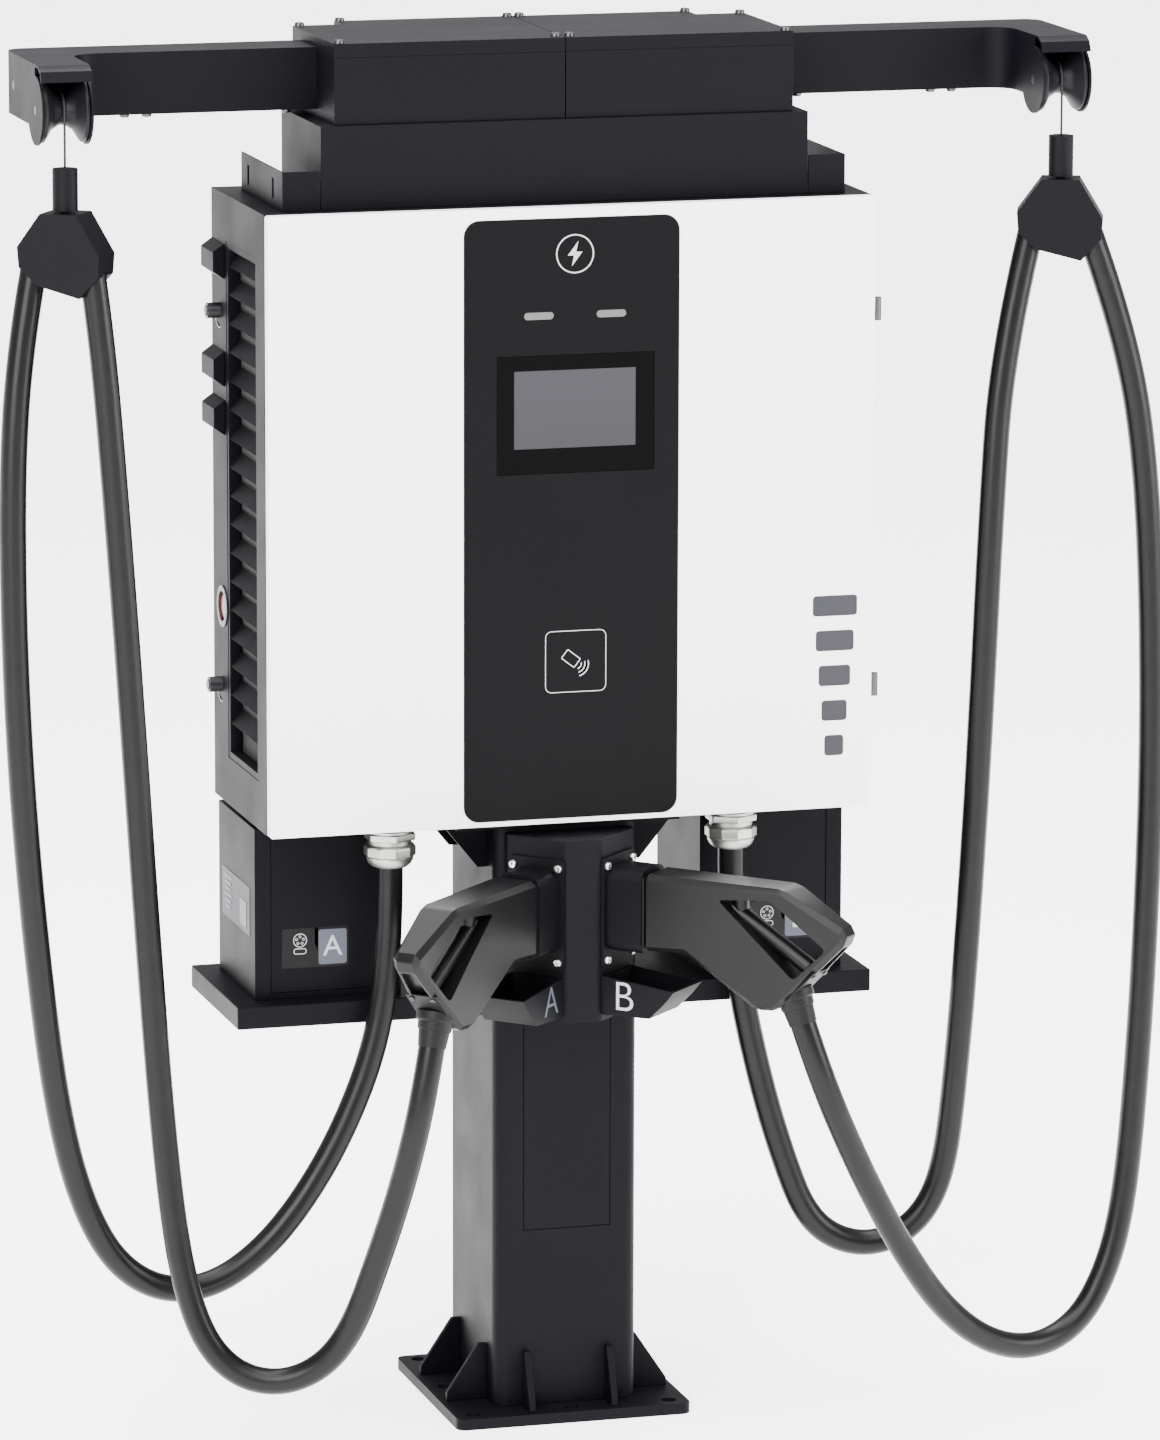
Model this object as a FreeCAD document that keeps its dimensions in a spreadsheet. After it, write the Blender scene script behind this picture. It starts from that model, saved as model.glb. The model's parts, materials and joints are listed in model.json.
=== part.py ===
import FreeCAD, Part
import Sketcher
import math
import os
import re

# Twin-outlet charging post: a steel post on a base plate carries a shelf with two junction
# boxes, a wide cabinet with a hinged front door and a top structure whose two arms hold the
# charging cables up on sprung wire ropes. X points to the right, Y to the back, Z up.
# Millimetres; the origin is the middle of the base plate's underside.

Vector, Rotation, Placement = FreeCAD.Vector, FreeCAD.Rotation, FreeCAD.Placement

SIZES = {
    # base and post
    "base_width": 296.0, "base_depth": 300.0, "base_thickness": 14.0, "base_corner": 12.0,
    "anchor_radius": 9.0, "anchor_edge_x": 24.0, "anchor_edge_y": 20.0, "cable_way_radius": 48.0,
    "post_width": 180.0, "post_depth": 216.0, "post_wall": 5.0, "post_corner": 18.0,
    "gusset_height": 70.0, "gusset_thick": 8.0, "gusset_margin": 8.0, "gusset_tip": 10.0,
    "gusset_half_x": 52.0, "gusset_half_y": 62.0,
    "access_width": 109.0, "access_low": 235.0, "access_high": 503.0, "access_thick": 4.0,
    "access_lip": 12.0, "panel_gap": 0.4,
    # shelf and junction boxes
    "shelf_overhang": 25.0, "shelf_front": -64.6, "shelf_back": 177.9, "shelf_low": 496.5,
    "shelf_thick": 27.5, "shelf_wall": 3.0,
    "junction_inset": 4.0, "junction_width": 182.0, "junction_front": -34.9,
    "junction_back": 149.3, "junction_height": 212.0, "sheet_wall": 2.0, "junction_rim": 20.0,
    "junction_sill": 8.0, "terminal_width": 120.0, "terminal_depth": 60.0,
    "terminal_height": 90.0, "terminal_lift": 70.0, "terminal_pitch": 22.0,
    # cabinet
    "cabinet_low": 744.5, "cabinet_height": 746.2, "cabinet_half": 375.0, "cabinet_back": 151.9,
    "cover_thick": 20.0, "shell_wall": 2.5, "shell_front": -114.0, "shell_rim": 18.0,
    "cable_way_half": 60.0, "gasket_width": 10.0, "gasket_thick": 3.0, "gasket_inset": 2.0,
    "head_thick": 8.0, "head_half_x": 140.0, "head_half_y": 112.0, "head_rib": 55.0,
    "head_rib_thick": 6.0, "head_rib_y": 66.0, "head_rib_toe": 12.0,
    "louvre_margin_front": 38.0, "louvre_margin_back": 72.9, "louvre_margin_low": 58.5,
    "louvre_margin_high": 55.7, "louvre_depth": 15.5, "louvre_frame": 8.0, "vent_margin": 10.0,
    "slat_height": 22.0, "slat_thick": 1.6, "slat_pitch": 34.9, "slat_start": 43.0,
    "slat_tilt": 35.0, "slat_set_back": 2.6,
    "hood_low_face": 24.0, "hood_height": 44.0, "hood_depth": 14.0, "hood_length": 63.0,
    "hood_edge": 1.9, "hood_wall": 2.0, "hood_drop_first": 82.2, "hood_drop_second": 212.7,
    "hood_drop_third": 272.2,
    "lock_edge": 37.9, "lock_drop": 144.7, "lock_lift": 142.5, "lock_radius": 9.5,
    "lock_length": 16.0, "lock_core": 6.5, "lock_sleeve": 2.6, "lock_cam": 26.0, "fit_gap": 0.05,
    "stop_edge": 47.9, "stop_lift": 240.5, "stop_cup": 22.5, "stop_bore": 18.5, "stop_gap": 1.0,
    "stop_depth": 17.0, "stop_cap": 17.0, "stop_cap_thick": 8.0, "stop_travel": 5.0,
    "stop_stem": 6.0, "stop_flange": 25.5, "stop_flange_thick": 1.6,
    # door
    "door_thick": 16.0, "door_gap": 3.3, "door_skin": 2.0, "door_lip": 38.0, "door_corner": 3.0,
    "glass_left": -136.4, "glass_right": 129.6, "glass_rise": 6.3, "glass_drop": 13.4,
    "glass_thick": 5.0, "glass_proud": 1.0, "glass_corner": 19.0, "glass_fit": 0.2,
    "backing_wall": 3.0, "backing_rim": 3.4, "bezel_width": 195.0, "bezel_height": 142.5,
    "bezel_x": 1.4, "bezel_drop": 248.2, "screen_width": 150.8, "screen_height": 94.2,
    "screen_x": 0.8, "screen_lift": 5.9, "screen_recess": 1.2, "bezel_recess": 0.5,
    "screen_lap": 6.0, "module_inset": 7.0, "module_depth": 16.0,
    "reader_size": 72.0, "reader_x": 2.0, "reader_lift": 197.5, "reader_depth": 12.0,
    "lens_width": 37.0, "lens_height": 9.3, "lens_left_x": -44.3, "lens_right_x": 45.4,
    "lens_drop": 129.5, "lens_recess": 0.3, "hinge_offset": 6.0, "hinge_set": 9.0,
    "knuckle_radius": 5.4, "knuckle_length": 14.0, "knuckle_gap": 0.2, "hinge_pin": 3.0,
    "hinge_drop": 137.7, "hinge_lift": 148.5, "leaf_thick": 2.6, "leaf_reach": 22.0,
    # inside the cabinet
    "module_width": 400.0, "module_height": 128.0, "module_reach": 165.0, "module_edge": 45.0,
    "module_lift": 105.5, "module_pitch": 150.0, "module_wall": 3.0, "fin_first": 25.0,
    "fin_pitch": 28.0, "fin_inset": 20.0, "control_width": 150.0, "control_reach": 80.0,
    "control_height": 240.0, "control_offset": 60.0, "control_rise": 330.0,
    "control_slot": 22.0, "control_slot_inset": 12.0, "control_slot_pitch": 34.0,
    "control_slot_depth": 15.0, "fan_size": 190.0, "fan_depth": 38.0, "fan_lift": 375.5,
    "fan_radius": 84.0, "fan_tip_gap": 3.0, "fan_hub": 26.0, "fan_hub_length": 20.0,
    "fan_shaft": 5.0, "fan_y": 2.0, "fan_bar": 10.0, "fan_bar_thick": 5.0, "fan_boss": 18.0,
    "fan_boss_length": 9.0, "blade_thick": 2.0, "blade_chord": 26.0, "blade_tilt": 35.0,
    # top structure
    "lower_inset": 74.0, "lower_front": -96.0, "lower_back": 98.0, "lower_height": 100.2,
    "upper_step": 17.7, "upper_front": -91.5, "upper_back": 111.5, "upper_height": 80.1,
    "tail_step": 61.0, "tail_back": 149.7, "lid_height": 16.4, "split_gap": 0.5,
    "bolt_head": 6.0, "bolt_height": 4.5, "bolt_shank": 3.0, "bolt_length": 8.0, "hole_gap": 0.3,
    "ear_inset": 27.0, "ear_front": -96.0, "ear_back": 109.5, "ear_height": 47.3,
    "ear_wall": 3.0, "ear_gap": 1.0, "ear_slot_width": 8.0, "ear_slot_height": 24.0,
    "ear_slot_drop": 24.0, "ear_slot_front": -49.0, "ear_slot_back": 73.5,
    # arms, pulleys and reels
    "arm_out": 645.0, "arm_width": 61.5, "beam_front": -7.0, "beam_back": 68.3, "arm_lift": 10.1,
    "arm_height": 74.0, "arm_wall": 3.0, "arm_nose": -85.0, "elbow_radius": 32.0,
    "corner_radius": 22.0, "cheek_radius": 41.0, "pulley_y": -98.5, "pulley_lift": 20.0,
    "pulley_radius": 38.5, "groove_radius": 17.7, "pulley_width": 54.0, "pulley_rim": 4.0,
    "axle_radius": 6.0, "reel_y": 22.0, "reel_lift": 36.0, "reel_radius": 29.0,
    "reel_hub": 15.2, "reel_width": 52.0, "reel_rim": 12.0, "rope_radius": 1.5,
    "rope_gap": 0.3, "arm_bolt_depth": 12.0, "arm_bolt_near": 34.7, "arm_bolt_middle": 204.7,
    "arm_bolt_far": 231.7,
    # cable clamps
    "ferrule_low": 1505.5, "ferrule_high": 1554.5, "ferrule_radius": 15.0, "clamp_y": -118.0,
    "clamp_high": 1503.0, "clamp_wide": 52.0, "clamp_narrow": 23.0, "clamp_thick": 48.0,
    "clamp_turn_left": -35.0, "clamp_turn_right": -20.0, "clamp_neck": 6.0,
    # holster and guns
    "holster_low": 507.0, "holster_high": 731.0, "holster_half": 79.0, "holster_flank": 13.0,
    "holster_reach": 72.0, "holster_column": 20.0, "holster_round": 17.0, "holster_wall": 3.0,
    "face_x": 49.5, "face_reach": 42.5, "plate_half": 38.5, "plate_low": 572.0,
    "plate_high": 708.0, "plate_thick": 4.0, "plate_corner": 5.0, "collar_half": 31.0,
    "collar_low": 592.0, "collar_high": 696.0, "collar_out": 50.0, "collar_round": 16.0,
    "nose_half": 24.5, "nose_low": 604.0, "nose_high": 680.0, "nose_round": 13.0,
    "nose_gap": 0.5, "nose_back": 12.0, "holder_bolt_w": 31.0, "holder_bolt_low": 582.0,
    "holder_bolt_high": 697.5, "scoop_half": 36.0, "scoop_wall": 3.0, "gun_half": 30.0,
    "gun_taper": 14.0, "grip_radius": 10.0, "cap_wall": 5.0, "cap_length": 60.0,
    # cables
    "cable_radius": 16.0, "cable_gap": 0.3, "gland_x": 214.5, "gland_y": -80.0, "gland_drop": 52.5,
    "gland_nut": 28.0, "gland_neck": 22.0, "gland_gap": 0.3, "gland_tip": 10.0,
    "gland_nut_height": 16.0, "gland_waist": 6.0,
}

# sizes that follow from the ones above
FOLLOWING = {
    "anchor_half_x": "base_width / 2 - anchor_edge_x",
    "anchor_half_y": "base_depth / 2 - anchor_edge_y",
    "shelf_half": "cabinet_half + shelf_overhang",
    "shelf_high": "shelf_low + shelf_thick",
    "junction_out": "cabinet_half - junction_inset",
    "junction_in": "junction_out - junction_width",
    "junction_high": "shelf_high + junction_height",
    "cabinet_high": "cabinet_low + cabinet_height",
    "louvre_front": "shell_front + louvre_margin_front",
    "louvre_back": "cabinet_back - louvre_margin_back",
    "louvre_low": "cabinet_low + louvre_margin_low",
    "louvre_high": "cabinet_high - louvre_margin_high",
    "slat_first": "louvre_low + slat_start",
    "hood_back": "cabinet_back - hood_edge",
    "hood_front": "hood_back - hood_length",
    "lock_y": "cabinet_back - lock_edge",
    "lock_upper_z": "cabinet_high - lock_drop",
    "lock_lower_z": "cabinet_low + lock_lift",
    "stop_y": "cabinet_back - stop_edge",
    "stop_z": "cabinet_low + stop_lift",
    "glass_low": "cabinet_low + glass_rise",
    "glass_high": "cabinet_high - glass_drop",
    "bezel_z": "cabinet_high - bezel_drop",
    "screen_z": "bezel_z + screen_lift",
    "reader_z": "cabinet_low + reader_lift",
    "lens_z": "cabinet_high - lens_drop",
    "hinge_y": "shell_front - hinge_set",
    "hinge_upper_z": "cabinet_high - hinge_drop",
    "hinge_lower_z": "cabinet_low + hinge_lift",
    "module_left": "module_edge - cabinet_half",
    "module_low": "cabinet_low + module_lift",
    "fan_z": "cabinet_low + fan_lift",
    "lower_half": "cabinet_half - lower_inset",
    "lower_high": "cabinet_high + lower_height",
    "upper_half": "lower_half - upper_step",
    "upper_high": "lower_high + upper_height",
    "tail_half": "upper_half - tail_step",
    "lid_high": "upper_high + lid_height",
    "ear_half": "cabinet_half - ear_inset",
    "ear_high": "cabinet_high + ear_height",
    "ear_slot_z": "ear_high - ear_slot_drop",
    "arm_low": "lower_high + arm_lift",
    "arm_high": "arm_low + arm_height",
    "pulley_z": "arm_low + pulley_lift",
    "reel_z": "arm_low + reel_lift",
    "holster_side": "-post_depth / 2 - holster_flank",
    "holster_nose": "-post_depth / 2 - holster_reach",
    "face_y": "-post_depth / 2 - face_reach",
    "gland_low": "cabinet_low - gland_drop",
}

DOCUMENT = FreeCAD.newDocument("ChargingPost")
SHEET = DOCUMENT.addObject("Spreadsheet::Sheet", "sizes")
for row, (alias, value) in enumerate((SIZES | FOLLOWING).items(), 1):
    SHEET.set(f"A{row}", alias)
    SHEET.set(f"B{row}", f"={value}")
    SHEET.setAlias(f"B{row}", alias)
DOCUMENT.recompute()

SUB_PARTS = {}


# ---------------------------------------------------------------- helpers

def bound(expression):
    """The expression with each size name written as its spreadsheet cell."""
    def cell(match):
        word = match.group(0)
        return "sizes." + word if word in SIZES or word in FOLLOWING else word
    return re.sub(r"[a-z][a-z_]+", cell, str(expression))


def number(expression):
    """The value in millimetres of an expression on the sizes."""
    return float(SHEET.evalExpression(bound(expression)))


def bind(thing, **expressions):
    """Bind each property of the object to an expression on the sizes."""
    for name, expression in expressions.items():
        thing.setExpression(name, bound(expression))
    return thing


def place(thing, at=(0, 0, 0), turn=None):
    """Put the object at a bound position, turned by a fixed or given rotation."""
    if turn is not None:
        thing.Placement = Placement(Vector(), turn)
    for axis, expression in zip("xyz", at):
        thing.setExpression(f"Placement.Base.{axis}", bound(expression))
    return thing


def box(name, low, high):
    """A box between two corners, each given as three expressions."""
    solid = DOCUMENT.addObject("Part::Box", name)
    lengths = [f"({b}) - ({a})" for a, b in zip(low, high)]
    bind(solid, Length=lengths[0], Width=lengths[1], Height=lengths[2])
    return place(solid, low)


AXIS_TURNS = {
    "x": Rotation(Vector(0, 1, 0), 90), "-x": Rotation(Vector(0, 1, 0), -90),
    "y": Rotation(Vector(1, 0, 0), -90), "-y": Rotation(Vector(1, 0, 0), 90),
    "z": Rotation(), "-z": Rotation(Vector(1, 0, 0), 180),
}


def rod(name, at, axis, radius, length):
    """A cylinder that starts at a point and runs along an axis."""
    solid = DOCUMENT.addObject("Part::Cylinder", name)
    bind(solid, Radius=radius, Height=length)
    return place(solid, at, AXIS_TURNS[axis])


def cut(name, base, *tools):
    """The base with the tools taken away."""
    tool = tools[0] if len(tools) == 1 else fuse(name + "_tools", *tools)
    result = DOCUMENT.addObject("Part::Cut", name)
    result.Base, result.Tool = base, tool
    return result


def fuse(name, *solids):
    """The solids joined into one."""
    if len(solids) == 2:
        result = DOCUMENT.addObject("Part::Fuse", name)
        result.Base, result.Tool = solids
    else:
        result = DOCUMENT.addObject("Part::MultiFuse", name)
        result.Shapes = list(solids)
    return result


def common(name, first, second):
    """What two solids share."""
    result = DOCUMENT.addObject("Part::Common", name)
    result.Base, result.Tool = first, second
    return result


def mirrored(name, source):
    """The mirror image of a solid across the middle plane X = 0."""
    result = DOCUMENT.addObject("Part::Mirroring", name)
    result.Source, result.Normal, result.Base = source, Vector(1, 0, 0), Vector()
    return result


def group(name, solids):
    """Several separate solids held as one sub-part."""
    result = DOCUMENT.addObject("Part::Compound", name)
    result.Links = list(solids)
    return result


def both_sides(name, source):
    """A solid and its mirror image as one sub-part."""
    return group(name, [source, mirrored(name + "_twin", source)])


def keep(label, thing, at=None, turn=None):
    """Register a finished sub-part under its label."""
    if at is not None:
        place(thing, at, turn)
    thing.Label = label
    SUB_PARTS[label] = thing
    return thing


def origin_plane(body, role):
    """One of the body's own origin planes."""
    return next(item for item in body.Origin.OriginFeatures if item.Role == role)


def outline_sketch(body, name, plane, corners):
    """A closed outline whose corners are bound to pairs of expressions."""
    sketch = body.newObject("Sketcher::SketchObject", name)
    sketch.AttachmentSupport = [(origin_plane(body, plane), "")]
    sketch.MapMode = "FlatFace"
    points = [Vector(number(a), number(b), 0) for a, b in corners]
    count = len(points)
    for index, point in enumerate(points):
        sketch.addGeometry(Part.LineSegment(point, points[(index + 1) % count]), False)
    for index in range(count):
        sketch.addConstraint(Sketcher.Constraint("Coincident", index, 2, (index + 1) % count, 1))
    for index, (a, b) in enumerate(corners):
        for kind, expression in (("DistanceX", a), ("DistanceY", b)):
            value = number(expression)
            if abs(value) < 1e-9:
                other = -2 if kind == "DistanceX" else -1
                sketch.addConstraint(Sketcher.Constraint("PointOnObject", index, 1, other))
                continue
            at = sketch.addConstraint(Sketcher.Constraint(kind, -1, 1, index, 1, value))
            sketch.setExpression(f"Constraints[{at}]", bound(expression))
    return sketch


def prism(name, plane, corners, length, both_ways=False, backwards=False):
    """A body padded from an outline; XZ pads run towards -Y unless turned backwards."""
    body = DOCUMENT.addObject("PartDesign::Body", name)
    pad = body.newObject("PartDesign::Pad", name + "_pad")
    pad.Profile = outline_sketch(body, name + "_outline", plane, corners)
    pad.setExpression("Length", bound(length))
    pad.Midplane, pad.Reversed = both_ways, backwards
    return body


def round_edges(body, radius, chosen):
    """Fillet the edges of the body's tip that the test picks out."""
    DOCUMENT.recompute()
    tip = body.Tip
    names = [f"Edge{i}" for i, edge in enumerate(tip.Shape.Edges, 1) if chosen(edge)]
    fillet = body.newObject("PartDesign::Fillet", body.Name + "_round")
    fillet.Base = (tip, names)
    fillet.setExpression("Radius", bound(radius))
    body.Tip = fillet
    return body


def along(axis):
    """A test for straight edges that run along the axis."""
    direction = {"x": Vector(1, 0, 0), "y": Vector(0, 1, 0), "z": Vector(0, 0, 1)}[axis]

    def test(edge):
        if not isinstance(edge.Curve, Part.Line):
            return False
        return abs(abs(edge.tangentAt(edge.FirstParameter).dot(direction)) - 1) < 1e-6
    return test


def panel(name, left, right, low, high, front, thickness, corner):
    """An upright plate with rounded corners whose face looks to the front."""
    body = prism(name, "XZ_Plane", [(left, low), (right, low), (right, high), (left, high)],
                 thickness, backwards=True)
    round_edges(body, corner, along("y"))
    return place(body, (0, front, 0))


def screws(name, places, axis, head="bolt_head", height="bolt_height"):
    """Cap screws whose heads stand on the given points; their shanks run along the axis."""
    opposite = axis[1:] if axis.startswith("-") else "-" + axis
    solids = []
    for index, at in enumerate(places):
        top = rod(f"{name}_head_{index}", at, opposite, head, height)
        shank = rod(f"{name}_shank_{index}", at, axis, "bolt_shank", "bolt_length")
        solids.append(fuse(f"{name}_{index}", top, shank))
    return solids


def drills(name, places, axis):
    """The clearance holes that go with a set of screws."""
    depth = "bolt_length + 2"
    start = {"-z": (0, 0, 1), "z": (0, 0, -1), "y": (0, -1, 0)}[axis]
    holes = []
    for index, at in enumerate(places):
        begin = [f"({value}) + ({step})" for value, step in zip(at, start)]
        holes.append(rod(f"{name}_{index}", begin, axis, "bolt_shank + hole_gap", depth))
    return holes


# ---------------------------------------------------------------- base and post

def build_base():
    half_x, half_y = "base_width / 2", "base_depth / 2"
    corners = [(f"{a} * {half_x}", f"{b} * {half_y}") for a, b in ((-1, -1), (1, -1), (1, 1), (-1, 1))]
    plate = prism("base_slab", "XY_Plane", corners, "base_thickness")
    round_edges(plate, "base_corner", along("z"))
    spots = [(a, b) for a in (-1, 0, 1) for b in (-1, 0, 1) if (a, b) != (0, 0)]
    holes = [rod(f"anchor_hole_{i}", (f"{a} * anchor_half_x", f"{b} * anchor_half_y", -1), "z",
                 "anchor_radius", "base_thickness + 2") for i, (a, b) in enumerate(spots)]
    holes.append(rod("cable_way", (0, 0, -1), "z", "cable_way_radius", "base_thickness + 2"))
    keep("base_plate", cut("base_plate_cut", plate, *holes))


def build_gussets():
    """Two ribs on each side of the post; the XZ outline runs out from the post's wall."""
    ribs = []
    for side, axis_name in enumerate(("x", "y")):
        wall = "post_width / 2" if axis_name == "x" else "post_depth / 2"
        edge = "base_width / 2" if axis_name == "x" else "base_depth / 2"
        spread = "gusset_half_y" if axis_name == "x" else "gusset_half_x"
        reach = f"{edge} - gusset_margin"
        corners = [(wall, "base_thickness"), (reach, "base_thickness"),
                   (reach, "base_thickness + gusset_tip"), (f"{wall} + gusset_tip",
                   "base_thickness + gusset_height"), (wall, "base_thickness + gusset_height")]
        for end in (1, -1):
            for offset in (1, -1):
                rib = prism(f"gusset_{axis_name}_{end + 1}_{offset + 1}", "XZ_Plane", corners,
                            "gusset_thick", both_ways=True)
                angle = (0 if axis_name == "x" else 90) + (0 if end > 0 else 180)
                shift = f"{offset} * {spread}"
                at = (0, shift, 0) if axis_name == "x" else (shift, 0, 0)
                ribs.append(place(rib, at, Rotation(Vector(0, 0, 1), angle)))
    keep("base_gussets", group("gusset_group", ribs))


def build_post():
    def ring(name, inset, low, high):
        x, y = f"post_width / 2 - {inset}", f"post_depth / 2 - {inset}"
        corners = [(f"{a} * ({x})", f"{b} * ({y})") for a, b in ((-1, -1), (1, -1), (1, 1), (-1, 1))]
        body = prism(name, "XY_Plane", corners, f"{high} - ({low})")
        round_edges(body, f"post_corner - {inset}", along("z"))
        return place(body, (0, 0, low))
    top = "cabinet_low - head_thick"
    outer = ring("post_outside", "0", "base_thickness", top)
    inner = ring("post_inside", "post_wall", "base_thickness - 1", f"{top} + 1")
    half, front = "access_width / 2 + panel_gap", "-post_depth / 2"
    hatch = box("access_hatch", (f"-({half})", f"{front} - 1", "access_low - panel_gap"),
                (half, f"{front} + post_wall + 1", "access_high + panel_gap"))
    keep("post_tube", cut("post_tube_cut", outer, inner, hatch))
    cover = box("access_plate", ("-access_width / 2", front, "access_low"),
                ("access_width / 2", f"{front} + post_wall", "access_high"))
    lip = box("access_backing", ("-access_width / 2 - access_lip", f"{front} + post_wall",
                                 "access_low - access_lip"),
              ("access_width / 2 + access_lip", f"{front} + post_wall + access_thick",
               "access_high + access_lip"))
    keep("access_cover", fuse("access_cover_joined", cover, lip))


# ---------------------------------------------------------------- shelf and junction boxes

def build_shelf():
    post_x, post_y = "post_width / 2", "post_depth / 2"
    slab = box("shelf_slab", ("-shelf_half", "shelf_front", "shelf_low"),
               ("shelf_half", "shelf_back", "shelf_high"))
    notch = box("shelf_notch", (f"-{post_x}", "shelf_front - 1", "shelf_low - 1"),
                (post_x, post_y, "shelf_high + 1"))
    under = "shelf_high - shelf_wall"
    hollows = [
        box("shelf_hollow_left", ("-shelf_half + shelf_wall", "shelf_front + shelf_wall", "shelf_low - 1"),
            (f"-{post_x} - shelf_wall", "shelf_back - shelf_wall", under)),
        box("shelf_hollow_right", (f"{post_x} + shelf_wall", "shelf_front + shelf_wall", "shelf_low - 1"),
            ("shelf_half - shelf_wall", "shelf_back - shelf_wall", under)),
        box("shelf_hollow_back", (f"-{post_x} - shelf_wall", f"{post_y} + shelf_wall", "shelf_low - 1"),
            (f"{post_x} + shelf_wall", "shelf_back - shelf_wall", under)),
    ]
    keep("shelf_tray", cut("shelf_cut", slab, notch, *hollows))


def build_junction_boxes():
    case = box("junction_block", ("junction_in", "junction_front", "shelf_high"),
               ("junction_out", "junction_back", "junction_high"))
    wall = "sheet_wall"
    hollow = box("junction_hollow", (f"junction_in + {wall}", "junction_front + 6", f"shelf_high + {wall}"),
                 (f"junction_out - {wall}", f"junction_back - {wall}", f"junction_high - {wall}"))
    mouth_low = ("junction_in + 3", "junction_front - 1", "shelf_high + junction_sill")
    mouth_high = ("junction_out - junction_rim", "junction_front + 7", "junction_high - junction_sill")
    mouth = box("junction_mouth", mouth_low, mouth_high)
    case_cut = cut("junction_case", case, hollow, mouth)
    keep("junction_boxes", both_sides("junction_pair", case_cut))
    gap = "panel_gap"
    cover = box("junction_cover",
                (f"{mouth_low[0]} + {gap}", "junction_front + 0.6", f"{mouth_low[2]} + {gap}"),
                (f"{mouth_high[0]} - {gap}", "junction_front + 6", f"{mouth_high[2]} - {gap}"))
    keep("junction_covers", both_sides("junction_cover_pair", cover))
    left = "(junction_in + junction_out - terminal_width) / 2"
    face = f"junction_back - {wall} - terminal_depth"
    foot = "shelf_high + terminal_lift"
    top = f"{foot} + terminal_height"
    block = box("terminal_block", (left, face, foot),
                (f"{left} + terminal_width", f"junction_back - {wall}", top))
    slots = []
    for index in range(5):
        start = f"{left} + 8 + {index} * terminal_pitch"
        slots.append(box(f"terminal_slot_{index}", (start, f"{face} - 1", f"{top} - 30"),
                         (f"{start} + 14", f"{face} + 18", f"{top} + 1")))
    keep("terminal_blocks", both_sides("terminal_pair", cut("terminal_cut", block, *slots)))


def build_head_bracket():
    low, high = "cabinet_low - head_thick", "cabinet_low"
    plate = box("head_plate", ("-head_half_x", "-head_half_y", low),
                ("head_half_x", "head_half_y", high))
    wall = "post_width / 2"
    corners = [(wall, low), (wall, f"{low} - head_rib"),
               (f"{wall} + head_rib_toe", f"{low} - head_rib"),
               ("head_half_x", f"{low} - head_thick"), ("head_half_x", low)]
    ribs = []
    for side in (1, -1):
        for end in (1, -1):
            rib = prism(f"head_rib_{side + 1}_{end + 1}", "XZ_Plane", corners, "head_rib_thick",
                        both_ways=True)
            turn = Rotation(Vector(0, 0, 1), 0 if side > 0 else 180)
            ribs.append(place(rib, (0, f"{end} * head_rib_y", 0), turn))
    hole = box("head_hole", ("-cable_way_half", "-cable_way_half", f"{low} - 1"),
               ("cable_way_half", "cable_way_half", f"{high} + 1"))
    keep("head_bracket", cut("head_cut", fuse("head_joined", plate, *ribs), hole))


# ---------------------------------------------------------------- cabinet

def side_holes(name, start, lock_hole, stop_hole, depth):
    """Holes through a left-hand wall for the two locks and the emergency stop."""
    holes = [rod(f"{name}_lock_hole_{i}", (start, "lock_y", z), "x", lock_hole, depth)
             for i, z in enumerate(("lock_upper_z", "lock_lower_z"))]
    return holes + [rod(f"{name}_stop_hole", (start, "stop_y", "stop_z"), "x", stop_hole, depth)]


def build_shell():
    side, wall = "cabinet_half - cover_thick", "shell_wall"
    block = box("shell_block", (f"-({side})", "shell_front", "cabinet_low"),
                (side, "cabinet_back", "cabinet_high"))
    room = box("shell_room", (f"-({side} - {wall})", f"shell_front + {wall}", f"cabinet_low + {wall}"),
               (f"{side} - {wall}", f"cabinet_back - {wall}", f"cabinet_high - {wall}"))
    mouth = box("shell_mouth", (f"-({side} - shell_rim)", "shell_front - 1", "cabinet_low + shell_rim"),
                (f"{side} - shell_rim", f"shell_front + {wall} + 1", "cabinet_high - shell_rim"))
    vent = box("shell_vents",
               (f"-({side} + 1)", "louvre_front + vent_margin", "louvre_low + vent_margin"),
               (f"{side} + 1", "louvre_back - vent_margin", "louvre_high - vent_margin"))
    glands = [rod(f"gland_hole_{i}", (f"{s} * gland_x", "gland_y", "cabinet_low - 1"), "z",
                  "gland_neck + gland_gap", f"{wall} + 2") for i, s in enumerate((-1, 1))]
    way = box("shell_cable_way", ("-cable_way_half", "-cable_way_half", "cabinet_low - 1"),
              ("cable_way_half", "cable_way_half", f"cabinet_low + {wall} + 1"))
    fittings = side_holes("shell", f"-({side} + 1)", "lock_core + lock_sleeve + panel_gap",
                          "stop_cup + stop_gap", f"{wall} + 2")
    keep("cabinet_shell", cut("shell_cut", block, room, mouth, vent, way, *glands, *fittings))
    edge, rise = f"({side} - gasket_inset)", "2 * gasket_inset"
    ring = box("gasket_block", (f"-{edge}", "shell_front - gasket_thick", f"cabinet_low + {rise}"),
               (edge, "shell_front", f"cabinet_high - {rise}"))
    window = box("gasket_window",
                 (f"gasket_width - {edge}", "shell_front - gasket_thick - 1",
                  f"cabinet_low + {rise} + gasket_width"),
                 (f"{edge} - gasket_width", "shell_front + 1",
                  f"cabinet_high - {rise} - gasket_width"))
    keep("door_gasket", cut("gasket_cut", ring, window))


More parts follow.
